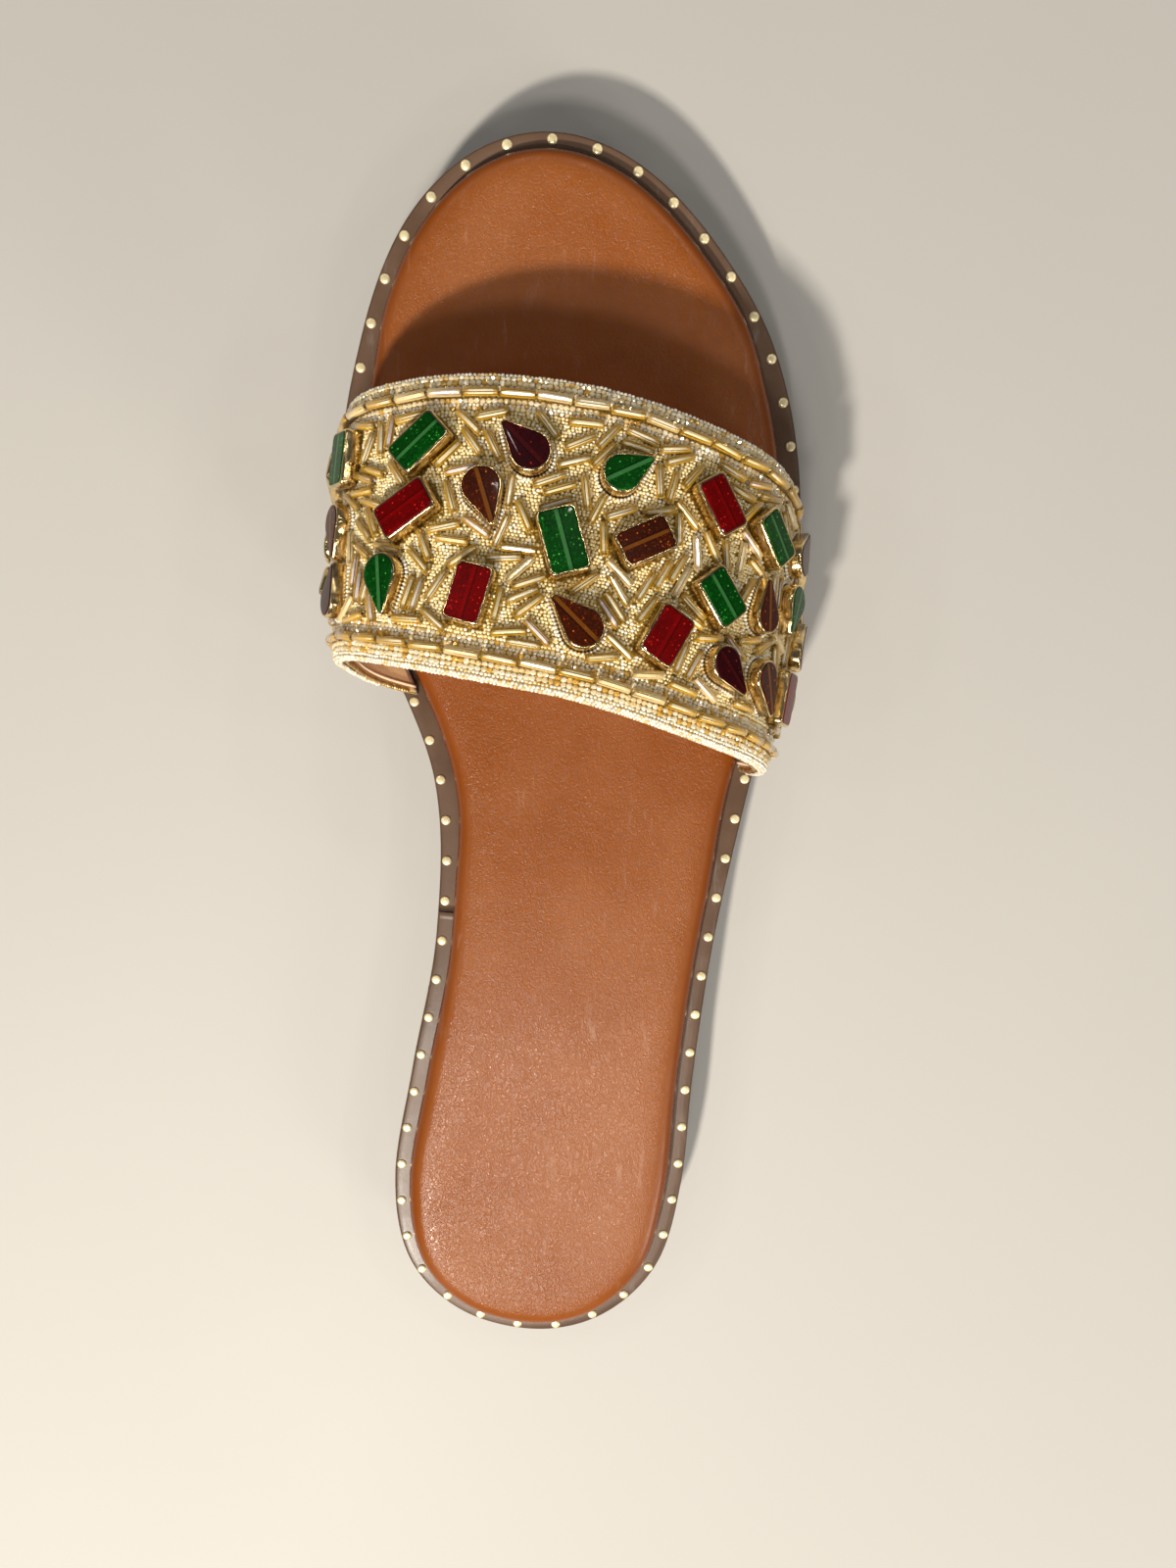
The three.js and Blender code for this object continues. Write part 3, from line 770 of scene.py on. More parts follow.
def bead_group():
    """The tone given to each bead, with a little change over its surface."""
    tree, start, end = new_group("Bead tone", [("Scale", 1500.0)], ["Tone", "Rare", "Film"])
    given = attribute(tree, "tone")
    film = noise(tree, object_place(tree), start.outputs["Scale"])[0]
    tree.links.new(maths(tree, "ADD", given, times(tree, film, 0.12)), end.inputs["Tone"])
    tree.links.new(spread(tree, given, 0.84, 0.9), end.inputs["Rare"])
    tree.links.new(film, end.inputs["Film"])
    return tree


GROUPS = {}
FINISHES = {}


def effect(tree, name, **inputs):
    """Outputs of one of the shared node groups, placed in a material."""
    makers = {
        "grain": grain_group,
        "drift": drift_group,
        "scuffs": scuff_group,
        "nap": nap_group,
        "bead": bead_group,
    }
    if name not in GROUPS:
        GROUPS[name] = makers[name]()
    made = tree.nodes.new("ShaderNodeGroup")
    made.node_tree = GROUPS[name]
    for key, value in inputs.items():
        made.inputs[key].default_value = value
    return made.outputs


def new_finish(name, **plain):
    """A material with one main shader whose plain values are set on its own sockets."""
    made = bpy.data.materials.new(name)
    made.use_nodes = True
    tree = made.node_tree
    tree.nodes.clear()
    shader = node(tree, "ShaderNodeBsdfPrincipled")
    output = node(tree, "ShaderNodeOutputMaterial")
    tree.links.new(shader.outputs[0], output.inputs["Surface"])
    for key, value in plain.items():
        shader.inputs[key.replace("_", " ").title().replace("Ior", "IOR")].default_value = value
    return made, tree, shader


def feed(shader, socket, value):
    shader.id_data.links.new(value, shader.inputs[socket])


def relief(shader, height, depth):
    """A bump of the given depth in millimetres."""
    given = {"Height": height, "Distance": depth * MM, "Strength": 1.0}
    made = node(shader.id_data, "ShaderNodeBump", given)
    feed(shader, "Normal", made.outputs[0])


def scaled(colour, share):
    return tuple(channel * share for channel in colour)


def blended(first, second, share):
    return tuple(a * (1 - share) + b * share for a, b in zip(first, second))


def footbed_leather(colour):
    made, tree, shader = new_finish("footbed_leather", specular_ior_level=0.3)
    grain = effect(tree, "grain", Scale=1850.0)
    drift = effect(tree, "drift", Scale=38.0, Contrast=0.3)
    scuffs = effect(tree, "scuffs", Scale=420.0)
    edge = attribute(tree, "edge")
    base = mixed(tree, drift["Mask"], scaled(colour, 0.88), blended(colour, (1, 0.7, 0.4), 0.05))
    pores = times(tree, grain["Pores"], 0.35)
    base = mixed(tree, pores, base, scaled(colour, 0.45))
    rubbed = times(tree, scuffs["Mask"], 0.3)
    base = mixed(tree, rubbed, base, blended(colour, (1, 0.85, 0.7), 0.3))
    # Painted shade: darker and deeper in colour where the edge values are high, on the rolled edge and in
    # the groove beside the welt.
    base = mixed(tree, edge, base, (colour[0] * 0.5, colour[1] * 0.34, colour[2] * 0.2))
    feed(shader, "Base Color", base)
    rough = between(tree, drift["Mask"], 0.2, 0.28)
    rough = maths(tree, "ADD", rough, times(tree, scuffs["Mask"], 0.12))
    feed(shader, "Roughness", maths(tree, "ADD", rough, times(tree, pores, 0.2)))
    fade = maths(tree, "SUBTRACT", 1.0, spread(tree, edge, 0.0, 0.3))
    relief(shader, times(tree, grain["Height"], fade), 0.075)
    return made


def welt_leather(colour):
    made, tree, shader = new_finish("welt_leather", specular_ior_level=0.35)
    grain = effect(tree, "grain", Scale=2200.0)
    drift = effect(tree, "drift", Scale=70.0, Contrast=0.25)
    scuffs = effect(tree, "scuffs", Scale=260.0)
    edge = attribute(tree, "edge")
    base = mixed(tree, drift["Mask"], scaled(colour, 0.82), scaled(colour, 1.14))
    rubbed = times(tree, scuffs["Mask"], 0.4)
    base = mixed(tree, rubbed, base, blended(colour, (1, 0.95, 0.9), 0.25))
    # Painted shade where the edge values are high: the welt's foot, its inner side and its ends at the
    # seam.
    base = mixed(tree, edge, base, scaled(colour, 0.4))
    feed(shader, "Base Color", base)
    feed(shader, "Roughness", between(tree, drift["Mask"], 0.32, 0.44))
    relief(shader, grain["Height"], 0.01)
    return made


def sole_rubber(colour):
    made, tree, shader = new_finish("sole_rubber", specular_ior_level=0.35)
    drift = effect(tree, "drift", Scale=120.0, Contrast=0.2)
    nap = effect(tree, "nap", Scale=1800.0)
    scuffs = effect(tree, "scuffs", Scale=200.0)
    base = mixed(tree, drift["Mask"], scaled(colour, 0.75), scaled(colour, 1.2))
    base = mixed(tree, scuffs["Mask"], base, blended(colour, (0.5, 0.45, 0.4), 0.3))
    feed(shader, "Base Color", base)
    feed(shader, "Roughness", between(tree, nap["Flecks"], 0.55, 0.75))
    relief(shader, nap["Height"], 0.08)
    return made


def stud_brass(colour):
    made, tree, shader = new_finish("stud_brass", metallic=0.45)
    drift = effect(tree, "drift", Scale=400.0, Contrast=0.2)
    scuffs = effect(tree, "scuffs", Scale=1500.0)
    base = mixed(tree, drift["Mask"], scaled(colour, 0.8), scaled(colour, 1.08))
    feed(shader, "Base Color", base)
    feed(shader, "Roughness", between(tree, scuffs["Mask"], 0.3, 0.48))
    return made


def gold_cloth(colour):
    """Woven gold ground that shows between the beads."""
    made, tree, shader = new_finish("gold_cloth", sheen_weight=0.25)
    nap = effect(tree, "nap", Scale=1400.0)
    drift = effect(tree, "drift", Scale=150.0, Contrast=0.25)
    weave = []
    for axis in ("X", "Y"):
        wave = node(
            tree,
            "ShaderNodeTexWave",
            {"Vector": object_place(tree), "Scale": 520.0, "Distortion": 1.2},
            bands_direction=axis,
        )
        weave.append(wave.outputs["Fac"])
    threads = times(tree, weave[0], weave[1])
    base = mixed(tree, threads, scaled(colour, 0.4), scaled(colour, 1.1))
    base = mixed(tree, times(tree, drift["Mask"], 0.4), base, scaled(colour, 0.6))
    feed(shader, "Base Color", base)
    feed(shader, "Metallic", between(tree, nap["Flecks"], 0.2, 0.6))
    feed(shader, "Roughness", between(tree, nap["Flecks"], 0.62, 0.42))
    relief(shader, threads, 0.12)
    return made


def lining_suede(name, colour):
    """Soft brushed skin of the lining, its piping and the facing beside the edge."""
    made, tree, shader = new_finish(name, sheen_weight=0.35, sheen_roughness=0.5, specular_ior_level=0.25)
    nap = effect(tree, "nap", Scale=2600.0)
    drift = effect(tree, "drift", Scale=60.0, Contrast=0.25)
    base = mixed(tree, drift["Mask"], scaled(colour, 0.86), scaled(colour, 1.08))
    base = mixed(tree, times(tree, nap["Flecks"], 0.25), base, scaled(colour, 0.6))
    feed(shader, "Base Color", base)
    feed(shader, "Roughness", between(tree, nap["Flecks"], 0.8, 0.95))
    relief(shader, nap["Height"], 0.09)
    return made


def bead_finish(name, low, high, rare, rough, **plain):
    """Small beads, each with its own tone between two colours, and a few of a third."""
    made, tree, shader = new_finish(name, **plain)
    bead = effect(tree, "bead", Scale=1600.0)
    base = mixed(tree, bead["Tone"], low, high)
    base = mixed(tree, bead["Rare"], base, rare)
    feed(shader, "Base Color", base)
    feed(shader, "Roughness", spread(tree, bead["Film"], 0.3, 0.7, rough[0], rough[1]))
    return made


def stone_glass(name, deep, bright, bore, glint):
    """Foil-backed glass: rows of fine painted sparkle, brighter on one side, a bore along it, a few painted
    glints and painted shade at its ends.
    """
    made, tree, shader = new_finish(
        name, metallic=0.0, coat_weight=0.3, coat_roughness=0.02, specular_ior_level=0.06
    )
    spot = node(tree, "ShaderNodeUVMap", uv_map="facet").outputs[0]
    parts = node(tree, "ShaderNodeSeparateXYZ", {0: spot})
    along, aside = parts.outputs[0], parts.outputs[1]
    drift = effect(tree, "drift", Scale=260.0, Contrast=0.25)
    # Painted shade towards the stone's two ends.
    ends = spread(tree, maths(tree, "ABSOLUTE", along), 0.74, 1.0)
    drill = spread(tree, maths(tree, "ABSOLUTE", aside), 0.115, 0.075)
    line = spread(tree, maths(tree, "ABSOLUTE", maths(tree, "SUBTRACT", aside, 0.15)), 0.06, 0.02)
    # Painted light: the sparkle is brighter on one side of the stone than on the other.
    lit = spread(tree, aside, -0.4, 0.6, 1.0, 0.4)
    rows = node(tree, "ShaderNodeMapping", {"Vector": spot, "Scale": (16.0, 10.5, 1.0)}).outputs[0]
    dots = node(tree, "ShaderNodeTexVoronoi", {"Vector": rows, "Scale": 1.0, "Randomness": 0.5})
    chosen = node(tree, "ShaderNodeSeparateXYZ", {0: dots.outputs["Color"]}).outputs[0]
    dot = spread(tree, dots.outputs["Distance"], 0.5, 0.15)
    # Painted sparkle in rows of dots, and a few of the dots as painted glints.
    painted_sparkle = times(tree, times(tree, dot, spread(tree, chosen, 0.15, 1.0)), lit)
    flash = times(tree, dot, spread(tree, chosen, 0.93, 0.97))
    base = mixed(tree, drift["Mask"], scaled(deep, 0.7), scaled(deep, 1.1))
    base = mixed(tree, painted_sparkle, base, bright)
    base = mixed(tree, times(tree, drill, 0.5), base, bore)
    base = mixed(tree, times(tree, line, 0.6), base, scaled(deep, 0.25))
    base = mixed(tree, times(tree, ends, 0.6), base, scaled(deep, 0.3))
    base = mixed(tree, times(tree, flash, 0.9), base, glint)
    feed(shader, "Base Color", base)
    feed(shader, "Roughness", between(tree, dot, 0.3, 0.16))
    return made


def tube_glass(colour):
    """Golden glass, clear where it is looked through straight and deep at its sides."""
    made, tree, shader = new_finish(
        "tube_glass", coat_weight=1.0, coat_roughness=0.03, specular_ior_level=0.6
    )
    bead = effect(tree, "bead", Scale=900.0)
    base = mixed(tree, bead["Tone"], scaled(colour, 0.75), colour)
    base = mixed(tree, bead["Rare"], base, blended(colour, (1.0, 0.9, 0.62), 0.4))
    feed(shader, "Base Color", base)
    feed(shader, "Roughness", spread(tree, bead["Film"], 0.3, 0.7, 0.03, 0.1))
    side = node(tree, "ShaderNodeLayerWeight", {"Blend": 0.5}).outputs["Facing"]
    feed(shader, "Alpha", spread(tree, side, 0.05, 0.45, 0.06, 0.8))
    return made


def tube_silver():
    """Bright lining of the tube beads, with a thin line of painted dark reflection at its corners."""
    made, tree, shader = new_finish("tube_lining", metallic=0.15, coat_weight=1.0, coat_roughness=0.06)
    bead = effect(tree, "bead", Scale=1600.0)
    corner = attribute(tree, "corner")
    base = mixed(tree, bead["Tone"], linear(255, 238, 178), linear(255, 252, 232))
    base = mixed(tree, bead["Rare"], base, linear(250, 240, 244))
    # Painted dark reflection: a thin dark line along every other corner of the lining.
    base = mixed(tree, spread(tree, corner, 0.3, 0.12), base, linear(104, 72, 18))
    feed(shader, "Base Color", base)
    feed(shader, "Roughness", spread(tree, bead["Film"], 0.3, 0.7, 0.16, 0.3))
    return made


def gold_foil(colour):
    made, tree, shader = new_finish("gold_foil", metallic=1.0)
    drift = effect(tree, "drift", Scale=700.0, Contrast=0.25)
    nap = effect(tree, "nap", Scale=1500.0)
    base = mixed(tree, drift["Mask"], scaled(colour, 0.55), scaled(colour, 1.1))
    feed(shader, "Base Color", base)
    feed(shader, "Roughness", between(tree, nap["Flecks"], 0.1, 0.24))
    relief(shader, nap["Height"], 0.03)
    return made


def floor_finish(colour):
    made, tree, shader = new_finish("pale_floor", specular_ior_level=0.3)
    drift = effect(tree, "drift", Scale=6.0, Contrast=0.3)
    feed(shader, "Base Color", mixed(tree, drift["Mask"], scaled(colour, 0.97), colour))
    feed(shader, "Roughness", between(tree, drift["Mask"], 0.55, 0.65))
    away = vector(tree, "LENGTH", {0: object_place(tree)}, "Value")
    feed(shader, "Alpha", spread(tree, away, 0.5, 1.5, 1.0, 0.0))
    return made


def finishes():
    """All the sandal's finishes, made once from the colours in the panel."""
    if FINISHES:
        return FINISHES
    tint = bpy.context.scene.sandal_colours
    made = {
        "footbed": footbed_leather(tuple(tint.footbed)),
        "welt": welt_leather(tuple(tint.welt)),
        "sole": sole_rubber(tuple(tint.sole)),
        "brass": stud_brass(tuple(tint.brass)),
        "cloth": gold_cloth(tuple(tint.cloth)),
        "suede": lining_suede("lining_suede", tuple(tint.lining)),
        "piping": lining_suede("lining_piping", blended(tint.lining, (1.0, 0.86, 0.72), 0.5)),
        "facing": lining_suede("edge_facing", tuple(tint.facing)),
        "seed": bead_finish(
            "seed_pearl", blended(tint.seed, linear(214, 168, 70), 0.35), tuple(tint.seed),
            (1.0, 0.95, 0.8), (0.16, 0.3), metallic=0.1, coat_weight=0.6, coat_roughness=0.1,
        ),
        "pearl": bead_finish(
            "edge_pearl", scaled(tint.pearl, 0.7), tuple(tint.pearl), (0.72, 0.5, 0.2), (0.18, 0.32),
            metallic=0.15, coat_weight=0.8, coat_roughness=0.08,
        ),
        "crystal": bead_finish(
            "crystal", linear(242, 214, 150), tuple(tint.crystal), linear(226, 180, 86), (0.06, 0.2),
            metallic=0.3, coat_weight=1.0, coat_roughness=0.03,
        ),
        "tube": tube_glass(tuple(tint.tube)),
        "core": tube_silver(),
        "braid": bead_finish(
            "gold_braid", (0.4, 0.25, 0.09), (0.72, 0.5, 0.22), (0.8, 0.62, 0.3), (0.32, 0.5),
            metallic=0.75,
        ),
        "foil": gold_foil(tuple(tint.foil)),
    }
    # Per stone: its own colour from the panel, then the colours of its painted sparkle, its bore and its
    # painted glints.
    for kind, deep, bright, bore, glint in (
        ("green", tint.green, linear(12, 128, 26), linear(74, 138, 78), linear(90, 225, 80)),
        ("red", tint.red, linear(160, 1, 5), linear(122, 2, 3), linear(255, 50, 40)),
        ("amber", tint.amber, linear(128, 52, 6), linear(136, 80, 20), linear(250, 120, 20)),
        ("garnet", tint.garnet, linear(84, 5, 12), linear(70, 12, 14), linear(210, 50, 50)),
    ):
        made[kind] = stone_glass(f"{kind}_glass", tuple(deep), bright, bore, glint)
    FINISHES.update(made)
    return FINISHES


# Sizes and colours that a user would change


def colour_of(label, about, red, green, blue):
    return FloatVectorProperty(
        name=label,
        description=about,
        subtype="COLOR",
        size=3,
        min=0.0,
        max=1.0,
        default=linear(red, green, blue),
    )


def size_of(label, about, value):
    return FloatProperty(
        name=label, description=about, default=value * MM, min=0.0, unit="LENGTH", precision=5
    )


class SandalColours(bpy.types.PropertyGroup):
    footbed: colour_of("Footbed", "Leather of the padded footbed", 145, 75, 15)
    welt: colour_of("Welt", "Leather strip round the sole", 94, 71, 54)
    sole: colour_of("Sole", "Rubber under the sandal", 62, 44, 34)
    brass: colour_of("Studs", "Brass of the welt's studs", 250, 232, 184)
    cloth: colour_of("Cloth", "Gold ground under the beads", 208, 166, 60)
    lining: colour_of("Lining", "Suede inside the band", 248, 202, 146)
    facing: colour_of("Facing", "Tan cloth inside the band's edges", 216, 172, 104)
    seed: colour_of("Seed beads", "Small pearly beads of the ground", 250, 234, 182)
    pearl: colour_of("Edge beads", "Pearls along the band's edges", 252, 243, 222)
    crystal: colour_of("Crystals", "Faceted stones along the edges", 255, 248, 226)
    tube: colour_of("Tube beads", "Glass of the long tube beads", 204, 156, 34)
    foil: colour_of("Foil", "Gold sides of the stones", 242, 214, 156)
    green: colour_of("Green", "Green stones", 2, 54, 7)
    red: colour_of("Red", "Red stones", 92, 0, 1)
    amber: colour_of("Amber", "Amber stones", 54, 16, 2)
    garnet: colour_of("Garnet", "Dark red stones", 40, 3, 7)
    floor: colour_of("Floor", "Plain floor under the sandal", 182, 179, 174)


class SandalBeads(bpy.types.PropertyGroup):
    seed_radius: size_of("Seed radius", "Radius of the small ground beads", 0.36)
    seed_pitch: size_of("Seed pitch", "Spacing of the small ground beads", 0.68)
    tube_radius: size_of("Tube radius", "Radius of the long beads", 0.78)
    tube_length: size_of("Tube length", "Length of the long beads", 5.9)
    tube_count: IntProperty(
        name="Tube beads", description="Most long beads on the band's field", default=460, min=0, max=600
    )
    stud_radius: size_of("Stud radius", "Radius of the welt's studs", 1.04)


class SandalLight(bpy.types.PropertyGroup):
    key: FloatProperty(
        name="Key", description="Power of the main soft light", default=15.6, min=0.0, unit="POWER"
    )
    ring: FloatProperty(
        name="Ring", description="Power of the ring of small lights that gives the beads their glints",
        default=4.8, min=0.0, unit="POWER",
    )
    gloss: FloatProperty(
        name="Gloss", description="Power of the light that shines on the heel",
        default=3.0, min=0.0, unit="POWER",
    )
    sky: FloatProperty(name="Sky", description="Strength of the plain surround", default=0.09, min=0.0)
    backdrop: FloatProperty(name="Backdrop", description="Paleness behind the floor", default=0.62, min=0.0)


# Pieces

LAID = {}


def ring_shares():
    """Shares round the sole at which its rings have points."""
    return np.arange(RING_COUNT) / RING_COUNT


def over(height, up):
    """A line of heights at a fixed distance over another."""
    return lambda y: height(y) + up


def bead_piece(name, shape, places, way, out, size, finish, tones, **more):
    """Copies of one small shape as one piece, each with its own tone."""
    points, faces = copies(*shape, places, way, np.cross(out, way), out, size)
    made = piece(name, points, faces, [finishes()[finish]], "gold_beads", **more)
    point_values(made, "tone", np.repeat(tones, len(shape[0])))
    return made


class SANDAL_OT_outsole(bpy.types.Operator):
    """Make the outsole with its rounded edge and groove"""

    bl_idname = "sandal.outsole"
    bl_label = "Outsole"

    def execute(self, context):
        share = ring_shares()

        def part_way(part):
            return lambda y: underside(y) + (welt_top(y) - WELT_THICK - FIT - underside(y)) * part

        rings = [edge_ring(share, inset, over(underside, up)) for inset, up in OUTSOLE_FOOT]
        rings += [edge_ring(share, inset, part_way(part)) for inset, part in OUTSOLE_SIDE]
        rings += [edge_ring(share, OUTSOLE_SHELF, height) for height in (part_way(1.0), welt_top)]
        low_quads, low_ends = ladder(0, RING_COUNT, up=False)
        top_quads, top_ends = ladder((len(rings) - 1) * RING_COUNT, RING_COUNT, up=True)
        faces = [ring_walls(len(rings), RING_COUNT), low_quads, low_ends, top_quads, top_ends]
        piece(
            "outsole_rubber", np.concatenate(rings), faces, [finishes()["sole"]], "sole_rubber",
            replaces=["outsole"],
        )
        return {"FINISHED"}


def stud_places():
    """Centres of the studs on the welt's top, evenly spaced along their line."""
    share = np.linspace(0, 1, 6001)
    x, y = edge_line(share, STUD_LINE["inset"])
    run = np.concatenate([[0], np.cumsum(np.hypot(np.diff(x), np.diff(y)))])
    at = (STUD_LINE["start"] + np.arange(STUD_LINE["count"]) / STUD_LINE["count"]) % 1 * run[-1]
    px = np.interp(at, run, x)
    py = np.interp(at, run, y)
    return np.stack([px, py, welt_top(py)], axis=1)


class SANDAL_OT_welt(bpy.types.Operator):
    """Make the welt, open at its butt seam, and its brass studs"""

    bl_idname = "sandal.welt"
    bl_label = "Welt and studs"

    def execute(self, context):
        count = WELT_STATIONS
        share = np.linspace(SEAM_AT + SEAM_GAP, SEAM_AT + 1 - SEAM_GAP, count)
        rings = [edge_ring(share, inset, over(welt_top, up)) for inset, up in WELT_SECTION]
        turns = len(WELT_SECTION)
        walls = ring_walls(turns, count, closed_stack=True, open_ring=True)
        first = (np.arange(turns) * count)[None]
        last = first[:, ::-1] + count - 1
        strip = piece(
            "welt_strip", np.concatenate(rings), [walls, first, last], [finishes()["welt"]],
            "welt_leather", replaces=["welt"],
        )
        shade = np.tile(np.array(WELT_SHADE)[:, None], count)
        shade[:, [0, -1]] = WELT_END_SHADE
        point_values(strip, "edge", shade.ravel())

        radius = context.scene.sandal_beads.stud_radius / MM
        places = stud_places()
        step = 0.5
        slope = (welt_top(places[:, 1] + step) - welt_top(places[:, 1] - step)) / (2 * step)
        out = unit(np.stack([np.zeros(len(slope)), -slope, np.ones(len(slope))], axis=1))
        across = np.tile([1.0, 0.0, 0.0], (len(places), 1))
        shape = lathe(STUD_PROFILE, 16)
        points, faces = copies(*shape, places, across, np.cross(out, across), out, radius)
        piece("welt_studs", points, faces, [finishes()["brass"]], "gold_beads")
        return {"FINISHED"}


def footbed_dents(x, y):
    """Depth of the soft hollows under heel and ball, with a slight unevenness of the skin."""
    total = 0
    for depth, middle_x, middle_y, wide, long in HOLLOWS:
        total = total + depth * np.exp(-(((x - middle_x) / wide) ** 2) - ((y - middle_y) / long) ** 2)
    ripple = np.sin(y * 0.21 + 0.9 * np.sin(x * 0.11)) * np.sin(x * 0.17 + 1.1)
    return total - RIPPLE * ripple


class SANDAL_OT_footbed(bpy.types.Operator):
    """Make the padded leather footbed with its rolled edge"""

    bl_idname = "sandal.footbed"
    bl_label = "Footbed"

    def execute(self, context):
        share = ring_shares()
        side_y = edge_line(share, FOOTBED_SECTION[0][0])[1]
        behind = 1 - smooth_step(side_y, *FOOTBED_GROWTH["behind"])
        clear = behind + smooth_step(side_y, *FOOTBED_GROWTH["ahead"])
        rings = []
        for inset, up in FOOTBED_SECTION:
            growth = FOOTBED_GROWTH["reach"] * (1 - smooth_step(inset, *FOOTBED_GROWTH["fades"]))
            rings.append(edge_ring(share, inset - growth * clear, over(welt_top, up)))
        rim_start = (len(rings) - 1) * RING_COUNT
        inner, top_quads, top_ends = rungs(rings[-1], FOOTBED_COLUMNS, rim_start)
        inner[:, 2] = welt_top(inner[:, 1]) + FOOTBED_SECTION[-1][1]
        points = np.concatenate(rings + [inner])
        insets = np.array([inset for inset, _ in FOOTBED_SECTION])
        pressed = np.ones(len(points))
        fade = smooth_step(insets, HOLLOWS_FROM, insets[-1])
        pressed[: len(rings) * RING_COUNT] = np.repeat(fade, RING_COUNT)
        points[:, 2] -= pressed * footbed_dents(points[:, 0], points[:, 1])
        low_quads, low_ends = ladder(0, RING_COUNT, up=False)
        faces = [ring_walls(len(rings), RING_COUNT), top_quads, top_ends, low_quads, low_ends]
        pad = piece(
            "footbed_pad", points, faces, [finishes()["footbed"]], "footbed_leather", replaces=["footbed"]
        )
        shade = np.zeros(len(points))
        shade[: len(FOOTBED_SHADE) * RING_COUNT] = np.repeat(FOOTBED_SHADE, RING_COUNT)
        point_values(pad, "edge", shade)
        return {"FINISHED"}


def swept_piece(name, loops, around, finish, slot, replaces=()):
    """A closed section carried over the band, from rows of place, edge and lift.

    The place is a distance in from the edge, or the along itself where the edge says "share".
    """
    points = []
    for place, edge, lift in loops:
        along = np.full(len(around), place) if edge == "share" else beside_edge(edge, place, around)
        points.append(band_lift(around, along, lift))
    points = np.stack(points, axis=1).reshape(-1, 3)
    first = np.arange(len(loops))[None]
    last = first[:, ::-1] + (len(around) - 1) * len(loops)
    faces = [ring_walls(len(around), len(loops)), first, last]
    return piece(name, points, faces, [finishes()[finish]], slot, replaces=replaces)


class SANDAL_OT_band(bpy.types.Operator):
    """Make the band's cloth wall, its suede lining and the braid inside its edges"""

    bl_idname = "sandal.band"
    bl_label = "Band"

    def execute(self, context):
        around = np.linspace(-1, 1, 181)
        deep = -(wall_thickness(around) - 0.5)
        rounded = [(place, part * deep) for place, part in CLOTH_EDGE]
        loops = [(place, "back", lift) for place, lift in rounded]
        loops += [(part, "share", np.zeros(len(around))) for part in np.linspace(0.03, 0.97, 33)]
        loops += [(place, "front", lift) for place, lift in rounded[::-1]]
        loops += [(CLOTH_TURN, "front", deep)]
        loops += [(part, "share", deep) for part in np.linspace(0.97, 0.03, 25)]
        loops += [(CLOTH_TURN, "back", deep)]
        cloth = swept_piece("band_cloth", loops, around, "cloth", "beaded_cloth", replaces=["upper"])

        lined = np.linspace(-LINING_REACH, LINING_REACH, 161)
        inside = -wall_thickness(lined)
        under = inside + FACING["thick"]
        section = [(FACING["start"], under), (FACING["lap"], under), (FACING["lap"], inside + 0.1)]
        section += [(LINING_INSET, inside + 0.02), (FACING["turn"], inside + 0.04)]
        for edge in EDGES:
            rows = [(place, edge, lift) for place, lift in section]
            rows = rows if edge == "back" else rows[::-1]
            swept_piece(f"{edge}_facing", rows, lined, "facing", "beaded_cloth")

        top = inside + 0.46
        hem = LINING_INSET
        fold = LINING_INSET + LINING_FOLD
        loops = [(fold, "back", top)]
        loops += [(part, "share", top) for part in np.linspace(0.08, 0.92, 21)]
        loops += [(fold, "front", top), (hem, "front", inside + 0.05), (fold, "front", inside - 0.08)]
        loops += [(part, "share", inside - 0.05) for part in np.linspace(0.92, 0.08, 25)]
        loops += [(fold, "back", inside - 0.08), (hem, "back", inside + 0.05)]
        lining = swept_piece("band_lining", loops, lined, "suede", "footbed_leather")

        turns = np.radians(np.arange(0, 360, 45))
        middle = inside - PIPING["sink"]
        radius = PIPING["radius"]
        for edge, order in (("back", turns[::-1]), ("front", turns)):
            rows = [(hem + radius * math.cos(a), edge, middle + radius * math.sin(a)) for a in order]
            swept_piece(f"{edge}_piping", rows, lined, "piping", "footbed_leather")

        points, faces = lathe(BRAID_LINK, 7)
        link = (points[:, [2, 1, 0]] * np.array(BRAID["half"]), [f[:, ::-1] for f in faces])
        rows = [band_row(edge, BRAID["inset"], BRAID["reach"], BRAID["pitch"]) for edge in EDGES]
        row_around, row_along = (np.concatenate(part) for part in zip(*rows))
        across, ahead, out = band_frame(row_around, row_along)
        places = band_lift(row_around, row_along, BRAID["lift"] - wall_thickness(row_around))
        way = across * math.cos(BRAID["lean"]) + ahead * math.sin(BRAID["lean"])
        tones = np.random.default_rng(11).random(len(places))
        bead_piece("edge_braid", link, places, way, out, 1.0, "braid", tones)
        return {"FINISHED"}


def stone_pearls(row, start):
    """Places of the pearls round a stone, the first of them a share of one pitch along."""
    origin, long_way, wide_way, _ = stone_seat(row)
    ring = stone_outline(row[1], row[5], row[6], -STONE_PEARLS["gap"])
    closed = np.vstack([ring, ring[:1]])
    run = running_length(closed)
    number = int(run[-1] / STONE_PEARLS["pitch"])
    at = (np.arange(number) + start) / number * run[-1]
    px = np.interp(at, run, closed[:, 0])
    py = np.interp(at, run, closed[:, 1])
    return origin + px[:, None] * long_way + py[:, None] * wide_way


